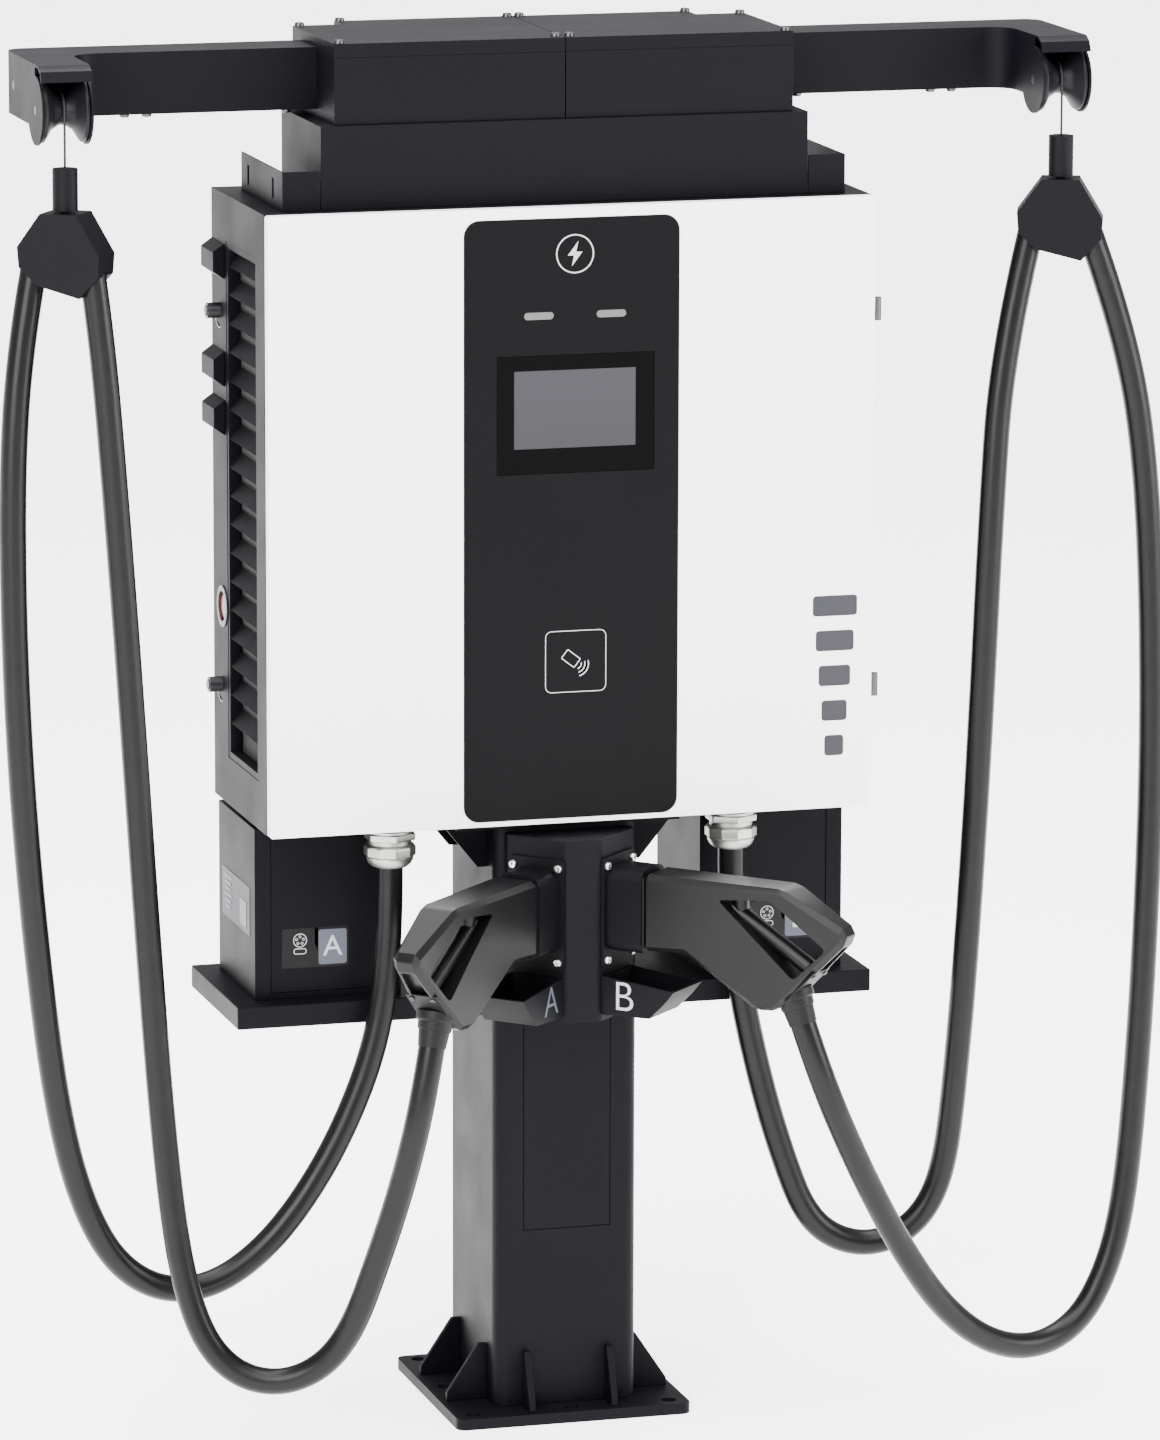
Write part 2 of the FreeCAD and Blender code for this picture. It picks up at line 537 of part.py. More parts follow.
def side_pan(name):
    """A folded side cover, built on the right-hand side, with its louvre opening."""
    inside, wall = "cabinet_half - cover_thick", "sheet_wall"
    pan = box(f"{name}_block", (inside, "shell_front", "cabinet_low"),
              ("cabinet_half", "cabinet_back", "cabinet_high"))
    hollow = box(f"{name}_hollow", (f"{inside} - 1", f"shell_front + {wall}", f"cabinet_low + {wall}"),
                 (f"cabinet_half - {wall}", f"cabinet_back - {wall}", f"cabinet_high - {wall}"))
    window = box(f"{name}_window", (f"{inside} - 1", "louvre_front", "louvre_low"),
                 ("cabinet_half + 1", "louvre_back", "louvre_high"))
    return cut(f"{name}_pan", pan, hollow, window)


def build_side_covers():
    holes = side_holes("cover", "-cabinet_half - 1", "lock_core + lock_sleeve + panel_gap",
                       "stop_cup + hole_gap", "sheet_wall + 2")
    left = cut("left_cover_cut", mirrored("left_cover", side_pan("left_pan")), *holes)
    keep("side_covers", group("side_cover_group", [left, side_pan("right_cover")]))


def build_louvres():
    gap = "panel_gap"
    low = ("cabinet_half - louvre_depth", f"louvre_front + {gap}", f"louvre_low + {gap}")
    high = ("cabinet_half - 0.6", f"louvre_back - {gap}", f"louvre_high - {gap}")
    frame = box("louvre_block", low, high)
    window = box("louvre_window",
                 (f"{low[0]} - 1", f"{low[1]} + louvre_frame", f"{low[2]} + louvre_frame"),
                 ("cabinet_half + 1", f"{high[1]} - louvre_frame", f"{high[2]} - louvre_frame"))
    slats = []
    count = 1 + int(number("(louvre_high - louvre_frame - slat_height - slat_first) / slat_pitch"))
    length = "louvre_back - louvre_front - 2 * louvre_frame + 2"
    for index in range(count):
        slat = box(f"slat_{index}", (0, 0, 0), ("slat_thick", length, "slat_height"))
        place(slat, ("cabinet_half - slat_set_back", "louvre_front + louvre_frame - 1",
                     f"slat_first + {index} * slat_pitch"),
              Rotation(Vector(0, -1, 0), number("slat_tilt")))
        slats.append(slat)
    panel_solid = fuse("louvre_joined", cut("louvre_frame_cut", frame, window), *slats)
    keep("louvre_panels", both_sides("louvre_pair", panel_solid))


def hood(index, drop):
    """A hollow cable hood on the left cover, closed at both ends."""
    middle, length = f"(cabinet_high - {drop})", "hood_back - hood_front"

    def corners(inset, base):
        tall, short = f"hood_height / 2 - {inset}", f"hood_low_face / 2 - {inset}"
        root, out = f"{base} - cabinet_half", f"-cabinet_half - hood_depth + {inset}"
        return [(root, f"{middle} - ({tall})"), (root, f"{middle} + {tall}"),
                (out, f"{middle} + {short}"), (out, f"{middle} - ({short})")]
    outside = prism(f"hood_{index}", "XZ_Plane", corners("0", "0"), length, backwards=True)
    place(outside, (0, "hood_front", 0))
    inside = prism(f"hood_room_{index}", "XZ_Plane", corners("hood_wall", "0.5"),
                   f"{length} - 2 * hood_wall", backwards=True)
    place(inside, (0, "hood_front + hood_wall", 0))
    return cut(f"hood_cut_{index}", outside, inside)


def build_side_fittings():
    """Cable hoods, key locks and the emergency stop on the left side."""
    drops = ("hood_drop_first", "hood_drop_second", "hood_drop_third")
    keep("vent_hoods", group("hood_group", [hood(i, drop) for i, drop in enumerate(drops)]))
    face, mouth = "-cabinet_half", "-cabinet_half - lock_length"
    rings = []
    for name, z in (("upper", "lock_upper_z"), ("lower", "lock_lower_z")):
        barrel = rod(f"lock_barrel_{name}", (mouth, "lock_y", z), "x", "lock_radius", "lock_length")
        neck = rod(f"lock_neck_{name}", (f"{face} - 1", "lock_y", z), "x",
                   "lock_core + lock_sleeve", "cover_thick + shell_wall + 6")
        bore = rod(f"lock_bore_{name}", (f"{mouth} - 1", "lock_y", z), "x",
                   "lock_core + fit_gap", "lock_length + cover_thick + 20")
        rings.append(cut(f"lock_ring_{name}", fuse(f"lock_body_{name}", barrel, neck), bore))
        core = rod(f"lock_core_{name}", (f"{mouth} - 1.5", "lock_y", z), "x", "lock_core",
                   "lock_length + cover_thick + 16")
        slot = box(f"key_slot_{name}", (f"{mouth} - 2", "lock_y - 0.9", f"{z} - 4"),
                   (f"{mouth} + 6", "lock_y + 0.9", f"{z} + 4"))
        cam = box(f"lock_cam_{name}", (f"{face} + cover_thick + 10", "lock_y - 6", f"{z} - 6"),
                  (f"{face} + cover_thick + 13", "lock_y + 6", f"{z} + lock_cam"))
        keep(f"lock_{name}", fuse(f"lock_joined_{name}", cut(f"lock_slotted_{name}", core, slot), cam))
    centre = ("stop_y", "stop_z")
    cup = rod("stop_cup_body", (face, *centre), "x", "stop_cup", "stop_depth")
    flange = rod("stop_flange_ring", (f"{face} - stop_flange_thick", *centre), "x", "stop_flange",
                 "stop_flange_thick")
    bore = rod("stop_cup_bore", (f"{face} - 2", *centre), "x", "stop_bore", "stop_depth")
    stem_hole = rod("stop_stem_hole", (f"{face} - 2", *centre), "x", "stop_stem + fit_gap",
                    "stop_depth + 4")
    rings.append(cut("stop_housing_cut", fuse("stop_housing_joined", cup, flange), bore, stem_hole))
    keep("side_housings", group("side_housing_group", rings))
    cap = rod("stop_cap_body", (f"{face} + 0.5", *centre), "x", "stop_cap", "stop_cap_thick")
    stem = rod("stop_stem_body", (f"{face} + stop_cap_thick", *centre), "x", "stop_stem",
               "stop_depth + 6")
    keep("estop_button", fuse("stop_button_joined", cap, stem))


# ---------------------------------------------------------------- door

def build_door():
    """The door pan with the window frame that its glass is bonded into."""
    back = "shell_front - door_gap"
    front, gap = f"{back} - door_thick", "panel_gap"
    skin = panel("door_skin_pan", "-cabinet_half", "cabinet_half", "cabinet_low", "cabinet_high",
                 front, "door_thick", "door_corner")
    cavity = box("door_cavity",
                 ("-cabinet_half + door_skin", f"{front} + door_skin", "cabinet_low + door_skin"),
                 ("cabinet_half - door_skin", f"{back} - door_skin", "cabinet_high - door_skin"))
    mouth = box("door_mouth",
                ("-cabinet_half + door_lip", f"{back} - door_skin - 1", "cabinet_low + door_lip"),
                ("cabinet_half - door_lip", f"{back} + 1", "cabinet_high - door_lip"))
    edges = (f"glass_left - {gap}", f"glass_right + {gap}", f"glass_low - {gap}", f"glass_high + {gap}")
    corner = f"glass_corner + {gap}"
    opening = panel("door_opening", *edges, f"{front} - 1", "door_skin + 2", corner)
    pan = cut("door_pan", skin, cavity, mouth, opening)
    seat = f"{front} - glass_proud + glass_thick"
    frame = box("backing_block",
                ("glass_left - backing_rim", f"{front} + door_skin", "glass_low - backing_rim"),
                ("glass_right + backing_rim", f"{seat} + backing_wall", "glass_high + backing_rim"))
    pocket = panel("backing_pocket", *edges, f"{front} + door_skin - 1",
                   f"{seat} - ({front} + door_skin) + 1", corner)
    half_x, half_z = "(screen_width / 2 - screen_lap)", "(screen_height / 2 - screen_lap)"
    screen_way = box("backing_window", (f"screen_x - {half_x}", f"{seat} - 1", f"screen_z - {half_z}"),
                     (f"screen_x + {half_x}", f"{seat} + backing_wall + 1", f"screen_z + {half_z}"))
    keep("front_door", fuse("door_joined", pan, cut("backing_cut", frame, pocket, screen_way)))
    build_display(f"{front} - glass_proud", seat)


def build_display(face, seat):
    """The glass with its lenses, the bezel, the screen and the card reader behind the glass."""
    glass = panel("glass_plate", "glass_left", "glass_right", "glass_low", "glass_high", face,
                  "glass_thick", "glass_corner")
    bezel = ["bezel_x - bezel_width / 2", "bezel_x + bezel_width / 2",
             "bezel_z - bezel_height / 2", "bezel_z + bezel_height / 2"]
    cutout = box("bezel_cutout", (f"{bezel[0]} - glass_fit", f"{face} - 1", f"{bezel[2]} - glass_fit"),
                 (f"{bezel[1]} + glass_fit", f"{seat} + 1", f"{bezel[3]} + glass_fit"))
    lens_cuts, lenses = [], []
    for side in ("left", "right"):
        edges = [f"lens_{side}_x - lens_width / 2", f"lens_{side}_x + lens_width / 2",
                 "lens_z - lens_height / 2", "lens_z + lens_height / 2"]
        lenses.append(panel(f"lens_{side}", *edges, f"{face} + lens_recess",
                            "glass_thick - lens_recess", "lens_height / 2 - 0.05"))
        wider = [f"{edges[0]} - glass_fit", f"{edges[1]} + glass_fit",
                 f"{edges[2]} - glass_fit", f"{edges[3]} + glass_fit"]
        lens_cuts.append(panel(f"lens_cut_{side}", *wider, f"{face} - 1", "glass_thick + 2",
                               "lens_height / 2"))
    keep("display_glass", cut("glass_cut", glass, cutout, *lens_cuts))
    keep("indicator_lenses", group("lens_group", lenses))
    frame = box("bezel_block", (bezel[0], f"{face} + bezel_recess", bezel[2]),
                (bezel[1], seat, bezel[3]))
    left, right = "screen_x - screen_width / 2", "screen_x + screen_width / 2"
    low, high = "screen_z - screen_height / 2", "screen_z + screen_height / 2"
    window = box("bezel_window", (f"{left} - glass_fit", f"{face} - 1", f"{low} - glass_fit"),
                 (f"{right} + glass_fit", f"{seat} + 1", f"{high} + glass_fit"))
    keep("screen_bezel", cut("bezel_cut", frame, window))
    screen = box("screen_plate", (left, f"{face} + screen_recess", low), (right, seat, high))
    module = box("screen_module", (f"{left} + module_inset", seat, f"{low} + module_inset"),
                 (f"{right} - module_inset", f"{seat} + module_depth", f"{high} - module_inset"))
    keep("touch_screen", fuse("screen_joined", screen, module))
    half, rear = "reader_size / 2", f"{seat} + backing_wall"
    keep("card_reader", box("reader_box", (f"reader_x - {half}", rear, f"reader_z - {half}"),
                            (f"reader_x + {half}", f"{rear} + reader_depth", f"reader_z + {half}")))


def build_hinges():
    """Two barrel hinges on the cabinet's right-hand edge: the door half turns on a fixed pin."""
    axis_x, edge = "cabinet_half + hinge_offset", "cabinet_half + 0.1"
    leaves, knuckles = [], []
    for name, z in (("upper", "hinge_upper_z"), ("lower", "hinge_lower_z")):
        foot = (axis_x, "hinge_y", f"{z} - knuckle_length")
        lower = rod(f"fixed_knuckle_{name}", foot, "z", "knuckle_radius",
                    "knuckle_length - knuckle_gap")
        pin = rod(f"hinge_pin_{name}", foot, "z", "hinge_pin", "2 * knuckle_length")
        arm = box(f"fixed_leaf_{name}", (edge, "hinge_y", f"{z} - knuckle_length"),
                  (f"{edge} + leaf_thick", "shell_front + leaf_reach", f"{z} - knuckle_gap"))
        leaves.append(fuse(f"fixed_hinge_{name}", lower, pin, arm))
        upper = rod(f"turning_knuckle_{name}", (axis_x, "hinge_y", z), "z", "knuckle_radius",
                    "knuckle_length")
        plate = box(f"turning_leaf_{name}", ("cabinet_half", "hinge_y - 8", z),
                    ("cabinet_half + leaf_thick", "hinge_y", f"{z} + knuckle_length"))
        bore = rod(f"turning_bore_{name}", (axis_x, "hinge_y", f"{z} - 1"), "z",
                   "hinge_pin + fit_gap", "knuckle_length + 2")
        knuckles.append(cut(f"turning_hinge_{name}", fuse(f"turning_joined_{name}", upper, plate), bore))
    keep("hinge_leaves", group("fixed_hinges", leaves))
    keep("hinge_knuckles", group("turning_hinges", knuckles))


# ---------------------------------------------------------------- inside the cabinet

def build_modules():
    """Three power modules on the cabinet's back wall, and the control unit beside them."""
    rear, right = "cabinet_back - shell_wall", "module_left + module_width"
    face = f"{rear} - module_reach"
    modules = []
    for index in range(3):
        low = f"module_low + {index} * module_pitch"
        high, wall = f"{low} + module_height", "module_wall"
        block = box(f"module_block_{index}", ("module_left", face, low), (right, rear, high))
        room = box(f"module_room_{index}", ("module_left - 1", f"{face} + {wall}", f"{low} + {wall}"),
                   (f"{right} + 1", f"{rear} - {wall}", f"{high} - {wall}"))
        fins = []
        for fin in range(5):
            start = f"{face} + fin_first + {fin} * fin_pitch"
            fins.append(box(f"module_fin_{index}_{fin}",
                            ("module_left + fin_inset", start, f"{low} + {wall}"),
                            (f"{right} - fin_inset", f"{start} + {wall}", f"{high} - {wall}")))
        modules.append(fuse(f"module_{index}", cut(f"module_case_{index}", block, room), *fins))
    keep("power_modules", group("module_group", modules))
    left, low = f"{right} + control_offset", "module_low + control_rise"
    face = f"{rear} - control_reach"
    case = box("control_block", (left, face, low),
               (f"{left} + control_width", rear, f"{low} + control_height"))
    slots = []
    for index in range(4):
        start = f"{left} + control_slot_inset + {index} * control_slot_pitch"
        foot = f"{low} + control_slot_inset"
        slots.append(box(f"control_slot_{index}", (start, f"{face} - 1", foot),
                         (f"{start} + control_slot", f"{face} + control_slot_depth",
                          f"{foot} + control_slot")))
    keep("control_unit", cut("control_cut", case, *slots))


def build_fan():
    """The exhaust fan blows out through the right-hand louvre."""
    wall, half = "cabinet_half - cover_thick - shell_wall", "fan_size / 2"
    rear, middle, bar = f"{wall} - fan_depth", ("fan_y", "fan_z"), "fan_bar / 2"
    reach = f"(fan_radius + {bar})"
    frame = box("fan_block", (rear, f"fan_y - {half}", f"fan_z - {half}"),
                (wall, f"fan_y + {half}", f"fan_z + {half}"))
    tunnel = rod("fan_tunnel", (f"{rear} - 1", *middle), "x", "fan_radius + fan_tip_gap",
                 "fan_depth + 2")
    bars = [box("fan_bar_level", (f"{wall} - fan_bar_thick", f"fan_y - {reach}", f"fan_z - {bar}"),
                (wall, f"fan_y + {reach}", f"fan_z + {bar}")),
            box("fan_bar_upright", (f"{wall} - fan_bar_thick", f"fan_y - {bar}", f"fan_z - {reach}"),
                (wall, f"fan_y + {bar}", f"fan_z + {reach}"))]
    boss = rod("fan_boss_body", (f"{wall} - fan_boss_length", *middle), "x", "fan_boss",
               "fan_boss_length")
    bore = rod("fan_bearing", (f"{wall} - 12", *middle), "x", "fan_shaft + fit_gap", "20")
    ring = fuse("fan_frame_joined", cut("fan_ring", frame, tunnel), *bars, boss)
    keep("fan_frame", cut("fan_frame_cut", ring, bore))
    hub = rod("fan_hub_body", (f"{rear} + 4", *middle), "x", "fan_hub", "fan_hub_length")
    shaft = rod("fan_shaft_body", (f"{rear} + 10", *middle), "x", "fan_shaft", "fan_depth - 12")
    blades = []
    for index in range(7):
        blade = box(f"fan_blade_{index}", (0, 0, 0),
                    ("blade_thick", "blade_chord", "fan_radius - fan_hub + 6"))
        turn = Rotation(Vector(1, 0, 0), index * 360 / 7)
        lift = turn.multVec(Vector(0, 0, 1))
        tilt = turn.multiply(Rotation(Vector(0, 0, 1), number("blade_tilt")))
        place(blade, (f"{rear} + 8", f"fan_y + {lift.y:.6f} * (fan_hub - 6)",
                      f"fan_z + {lift.z:.6f} * (fan_hub - 6)"), tilt)
        blades.append(blade)
    keep("fan_rotor", fuse("fan_rotor_joined", hub, shaft, *blades))


# ---------------------------------------------------------------- top structure

UPPER_OUTLINE = (("split_gap", "upper_front"), ("upper_half", "upper_front"), ("upper_half", "upper_back"),
                 ("tail_half", "upper_back"), ("tail_half", "tail_back"), ("split_gap", "tail_back"))


def upper_prism(name, inset, low, high):
    """A prism on the T-shaped plan of one upper half, shrunk by an inset."""
    signs = ((1, 1), (-1, 1), (-1, -1), (-1, -1), (-1, -1), (1, -1))
    corners = [(f"{x} + {a} * {inset}", f"{y} + {b} * {inset}")
               for (x, y), (a, b) in zip(UPPER_OUTLINE, signs)]
    return place(prism(name, "XY_Plane", corners, f"{high} - ({low})"), (0, 0, low))


def build_top():
    wall = "sheet_wall"
    block = box("lower_block", ("-lower_half", "lower_front", "cabinet_high"),
                ("lower_half", "lower_back", "lower_high"))
    room = box("lower_room", (f"-lower_half + {wall}", f"lower_front + {wall}", "cabinet_high - 1"),
               (f"lower_half - {wall}", f"lower_back - {wall}", f"lower_high - {wall}"))
    keep("top_box_lower", cut("lower_cut", block, room))
    # the tail of the upper boxes overhangs the lower box, so both halves have a floor
    shell = upper_prism("upper_block", "0", "lower_high", "upper_high")
    hollow = upper_prism("upper_room", wall, f"lower_high + {wall}", "upper_high + 1")
    port = box("upper_port", (f"upper_half - {wall} - 1", "beam_front + arm_wall", "arm_low + arm_wall"),
               ("upper_half + 1", "beam_back - arm_wall", "upper_high - 4"))
    keep("top_boxes_upper", both_sides("upper_pair", cut("upper_cut", shell, hollow, port)))
    spots = [("upper_half - 8", "upper_front + 9"), ("split_gap + 8", "upper_front + 15"),
             ("upper_half - 7", "upper_back - 6"), ("tail_half - 5", "tail_back - 8"),
             ("split_gap + 7", "tail_back - 7")]
    places = [(x, y, "lid_high") for x, y in spots]
    cap = upper_prism("lid_block", "0", "upper_high", "lid_high")
    under = upper_prism("lid_room", wall, "upper_high - 1", f"lid_high - {wall}")
    keep("top_lids", both_sides("lid_pair", cut("lid_cut", cap, under, *drills("lid_hole", places, "-z"))))
    # arm screws stand under the beams
    below = [(f"upper_half + arm_bolt_{place_of}", "beam_front + arm_bolt_depth", "arm_low")
             for place_of in ("far", "middle", "near")]
    right = screws("lid_screw", places, "-z") + screws("arm_screw", below, "z")
    keep("top_screws", both_sides("top_screw_pair", group("top_screw_half", right)))
    build_ears()
    return below


def build_ears():
    """Two folded lifting brackets beside the lower box."""
    inner, foot_high = "lower_half + ear_gap", "cabinet_high + ear_wall"
    side = box("ear_side", ("ear_half - ear_wall", "ear_front", "cabinet_high"),
               ("ear_half", "ear_back", "ear_high"))
    foot = box("ear_foot", (inner, "ear_front", "cabinet_high"), ("ear_half", "ear_back", foot_high))
    face = box("ear_face", (inner, "ear_front", "cabinet_high"),
               ("ear_half", "ear_front + ear_wall", "ear_high"))
    slots = [box(f"ear_slot_{i}", ("ear_half - ear_wall - 1", f"{y} - ear_slot_width / 2",
                                   "ear_slot_z - ear_slot_height / 2"),
                 ("ear_half + 1", f"{y} + ear_slot_width / 2", "ear_slot_z + ear_slot_height / 2"))
             for i, y in enumerate(("ear_slot_front", "ear_slot_back"))]
    ear = cut("ear_cut", fuse("ear_joined", side, foot, face), *slots)
    keep("ear_brackets", both_sides("ear_pair", ear))


def build_arms(screw_places):
    inner = "arm_out - arm_width"
    corners = [("upper_half", "beam_front"), (inner, "beam_front"), (inner, "arm_nose"),
               ("arm_out", "arm_nose"), ("arm_out", "beam_back"), ("upper_half", "beam_back")]
    tube = prism("arm_tube", "XY_Plane", corners, "arm_high - arm_low")
    place(tube, (0, 0, "arm_low"))

    def upright_at(x, y):
        test = along("z")
        return lambda edge: (test(edge) and abs(edge.CenterOfMass.x - number(x)) < 0.01
                             and abs(edge.CenterOfMass.y - number(y)) < 0.01)
    round_edges(tube, "elbow_radius", upright_at(inner, "beam_front"))
    round_edges(tube, "corner_radius", upright_at("arm_out", "beam_back"))
    wall = "arm_wall"
    corners = [("upper_half - 1", f"beam_front + {wall}"), (f"{inner} + {wall}", f"beam_front + {wall}"),
               (f"{inner} + {wall}", "arm_nose - 1"), (f"arm_out - {wall}", "arm_nose - 1"),
               (f"arm_out - {wall}", f"beam_back - {wall}"), ("upper_half - 1", f"beam_back - {wall}")]
    room = prism("arm_room", "XY_Plane", corners, f"arm_high - arm_low - 2 * {wall}")
    place(room, (0, 0, f"arm_low + {wall}"))
    round_edges(room, f"elbow_radius + {wall}", upright_at(f"{inner} + {wall}", f"beam_front + {wall}"))
    round_edges(room, f"corner_radius - {wall}", upright_at(f"arm_out - {wall}", f"beam_back - {wall}"))
    floor = box("arm_floor_gap", (f"{inner} + {wall}", "arm_nose - 1", "arm_low - 1"),
                (f"arm_out - {wall}", "pulley_y + pulley_radius + 4", f"arm_low + {wall} + 1"))
    cheeks = []
    for index, x in enumerate((inner, f"arm_out - {wall}")):
        disc = rod(f"cheek_disc_{index}", (x, "pulley_y", "pulley_z"), "x", "cheek_radius", wall)
        strip = box(f"cheek_strip_{index}", (x, "pulley_y", "arm_low"),
                    (f"{x} + {wall}", "arm_nose + 1", "arm_high"))
        cheeks.append(fuse(f"cheek_{index}", disc, strip))
    nose = "arm_nose"
    hood = prism("arm_hood", "YZ_Plane", [
        (f"{nose} + 1", "arm_high"), ("pulley_y - 18", "arm_high"), ("pulley_y - 30", "arm_high - 6"),
        ("pulley_y - 36", "arm_high - 18"), ("pulley_y - 33", "arm_high - 18.5"),
        ("pulley_y - 27.5", "arm_high - 8.5"), ("pulley_y - 17", f"arm_high - {wall}"),
        (f"{nose} + 1", f"arm_high - {wall}")], "arm_width")
    place(hood, (inner, 0, 0))
    wheels = ("pulley", "reel")
    bores = [rod(f"{wheel}_axle_hole", (f"{inner} - 1", f"{wheel}_y", f"{wheel}_z"), "x",
                 "axle_radius", "arm_width + 2") for wheel in wheels]
    arm = cut("arm_cut", fuse("arm_joined", cut("arm_hollow", tube, room, floor), *cheeks, hood),
              *bores, *drills("arm_hole", screw_places, "z"))
    keep("arms", both_sides("arm_pair", arm))
    axles = [rod(f"{wheel}_axle", (inner, f"{wheel}_y", f"{wheel}_z"), "x", "axle_radius",
                 "arm_width") for wheel in wheels]
    keep("pulley_axles", both_sides("axle_pair", group("axle_half", axles)))


def spool(name, radius, hub, width, edge):
    """A grooved wheel turned about its own X axis, with a running bore."""
    body = DOCUMENT.addObject("PartDesign::Body", name)
    bore, slope = "axle_radius + fit_gap", f"({radius} + {hub}) / 2 - ({radius} - {hub}) / 5"
    corners = [(f"-{width} / 2", bore), (f"-{width} / 2", radius), (f"-{width} / 2 + {edge}", radius),
               (f"-{width} / 4", slope), (f"-{width} / 16", hub), (f"{width} / 16", hub),
               (f"{width} / 4", slope), (f"{width} / 2 - {edge}", radius), (f"{width} / 2", radius),
               (f"{width} / 2", bore)]
    turned = body.newObject("PartDesign::Revolution", name + "_turned")
    sketch = outline_sketch(body, name + "_outline", "XY_Plane", corners)
    turned.Profile = sketch
    turned.ReferenceAxis = (sketch, ["H_Axis"])
    turned.Angle = 360
    return body


def build_pulleys():
    middle = "arm_out - arm_width / 2"
    for side, sign in (("left", -1), ("right", 1)):
        wheel = spool(f"pulley_{side}_body", "pulley_radius", "groove_radius", "pulley_width",
                      "pulley_rim")
        keep(f"pulley_{side}", wheel, (f"{sign} * ({middle})", "pulley_y", "pulley_z"), Rotation())
        drum = spool(f"reel_{side}_body", "reel_radius", "reel_hub", "reel_width", "reel_rim")
        keep(f"reel_{side}", drum, (f"{sign} * ({middle})", "reel_y", "reel_z"), Rotation())


def build_ropes():
    """Each wire rope rises from its ferrule, turns over the pulley and runs back to its reel."""
    radius = number("rope_radius")
    wheel = Vector(0, number("pulley_y"), number("pulley_z"))
    drum = Vector(0, number("reel_y"), number("reel_z"))
    near = number("groove_radius + rope_gap + rope_radius")
    far = number("reel_hub + rope_gap + rope_radius")
    line = drum - wheel
    tilt = math.atan2(line.z, line.y) - math.asin((near - far) / line.Length)
    normal = Vector(0, -math.sin(tilt), math.cos(tilt))

    def around(centre, reach, angle):
        return centre + Vector(0, -math.cos(angle) * reach, math.sin(angle) * reach)
    bottom = Vector(0, wheel.y - near, number("ferrule_high"))
    rise, lift, land = wheel - Vector(0, near, 0), wheel + normal * near, drum + normal * far
    end = drum + Vector(0, far, 0)
    half_one = around(wheel, near, (math.pi / 2 + tilt) / 2)
    quarter = math.pi / 4 + tilt / 2
    half_two = drum + Vector(0, math.cos(quarter) * far, math.sin(quarter) * far)
    edges = [Part.LineSegment(bottom, rise), Part.Arc(rise, half_one, lift),
             Part.LineSegment(lift, land), Part.Arc(land, half_two, end)]
    wire = Part.Wire([edge.toShape() for edge in edges])
    ring = Part.Wire(Part.Circle(bottom, Vector(0, 0, 1), radius).toShape())
    shape = wire.makePipeShell([ring], True, True)
    print("rope", round(wire.Length, 1), "mm, volume over section x length",
          round(shape.Volume / (math.pi * radius ** 2 * wire.Length), 4))
    for side, sign in (("left", -1), ("right", 1)):
        rope = DOCUMENT.addObject("Part::Feature", f"rope_{side}_solid")
        rope.Shape = shape
        keep(f"rope_{side}", rope, (f"{sign} * (arm_out - arm_width / 2)", 0, 0), Rotation())


# ---------------------------------------------------------------- cables and clamps

CABLE_ROUTES = {
    "cable_back_left": [
        (-214.5, -80, 691.7), (-214.5, -80, 600), (-232, -89, 480), (-280, -100, 368), (-340, -109, 278),
        (-398, -115, 222), (-456, -120, 194), (-515, -124, 198), (-566, -127, 234), (-603, -130, 300),
        (-632, -132, 400), (-655, -134, 560), (-676, -134, 800), (-684, -130, 1020), (-681, -122, 1230),
        (-664, -110, 1370), (-645, -98, 1452)],
    "cable_front_left": [
        (-226.3, -327.3, 539), (-243, -344, 464), (-264, -324, 356), (-289, -302, 260), (-314, -284, 178),
        (-344, -268, 130), (-389, -251, 106), (-436, -235, 112), (-472, -220, 144), (-494, -207, 198),
        (-509, -194, 280), (-521, -180, 420), (-534, -168, 640), (-552, -156, 974), (-568, -149, 1223),
        (-579, -144, 1365), (-589, -138.5, 1447)],
    "cable_back_right": [
        (214.5, -80, 691.7), (214.5, -80, 594), (232, -88, 482), (255, -95, 380), (280, -101, 297),
        (303, -106, 236), (335, -110, 202), (380, -114, 188), (424, -118, 199), (459, -121, 232),
        (479, -124, 288), (489, -127, 380), (501, -130, 540), (514, -134, 800), (525, -134, 1085),
        (541, -122, 1295), (583, -107, 1446)],
    "cable_front_right": [
        (226.3, -327.3, 539), (246, -347, 464), (302, -326, 345), (366, -293, 234), (430, -266, 145),
        (497, -244, 90), (565, -224, 72), (625, -208, 95), (664, -196, 150), (688, -188, 225),
        (704, -180, 345), (720, -170, 565), (730, -158, 861), (721, -146, 1157), (688, -138, 1330),
        (645, -129, 1446)],
}
ARC_SHARE = 0.45  # how much of the shorter run an arc takes on each side of its corner


def cable_wire(name, points):
    """Straight runs joined by tangent arcs; returns the wire and prints its arc radii."""
    corners = [Vector(*point) for point in points]
    edges, start, radii = [], corners[0], []
    for before, corner, after in zip(corners, corners[1:], corners[2:]):
        back, ahead = (before - corner), (after - corner)
        reach = ARC_SHARE * min(back.Length, ahead.Length)
        back.normalize()
        ahead.normalize()
        turn = math.pi - back.getAngle(ahead)
        radius = reach / math.tan(turn / 2)
        radii.append(round(radius))
        first, last = corner + back * reach, corner + ahead * reach
        inward = back + ahead
        inward.normalize()
        middle = corner + inward * (radius / math.cos(turn / 2) - radius)
        edges += [Part.LineSegment(start, first), Part.Arc(first, middle, last)]
        start = last
    edges.append(Part.LineSegment(start, corners[-1]))
    wire = Part.Wire([edge.toShape() for edge in edges])
    print(name, "length", round(wire.Length, 1), "arc radii", radii)
    return wire


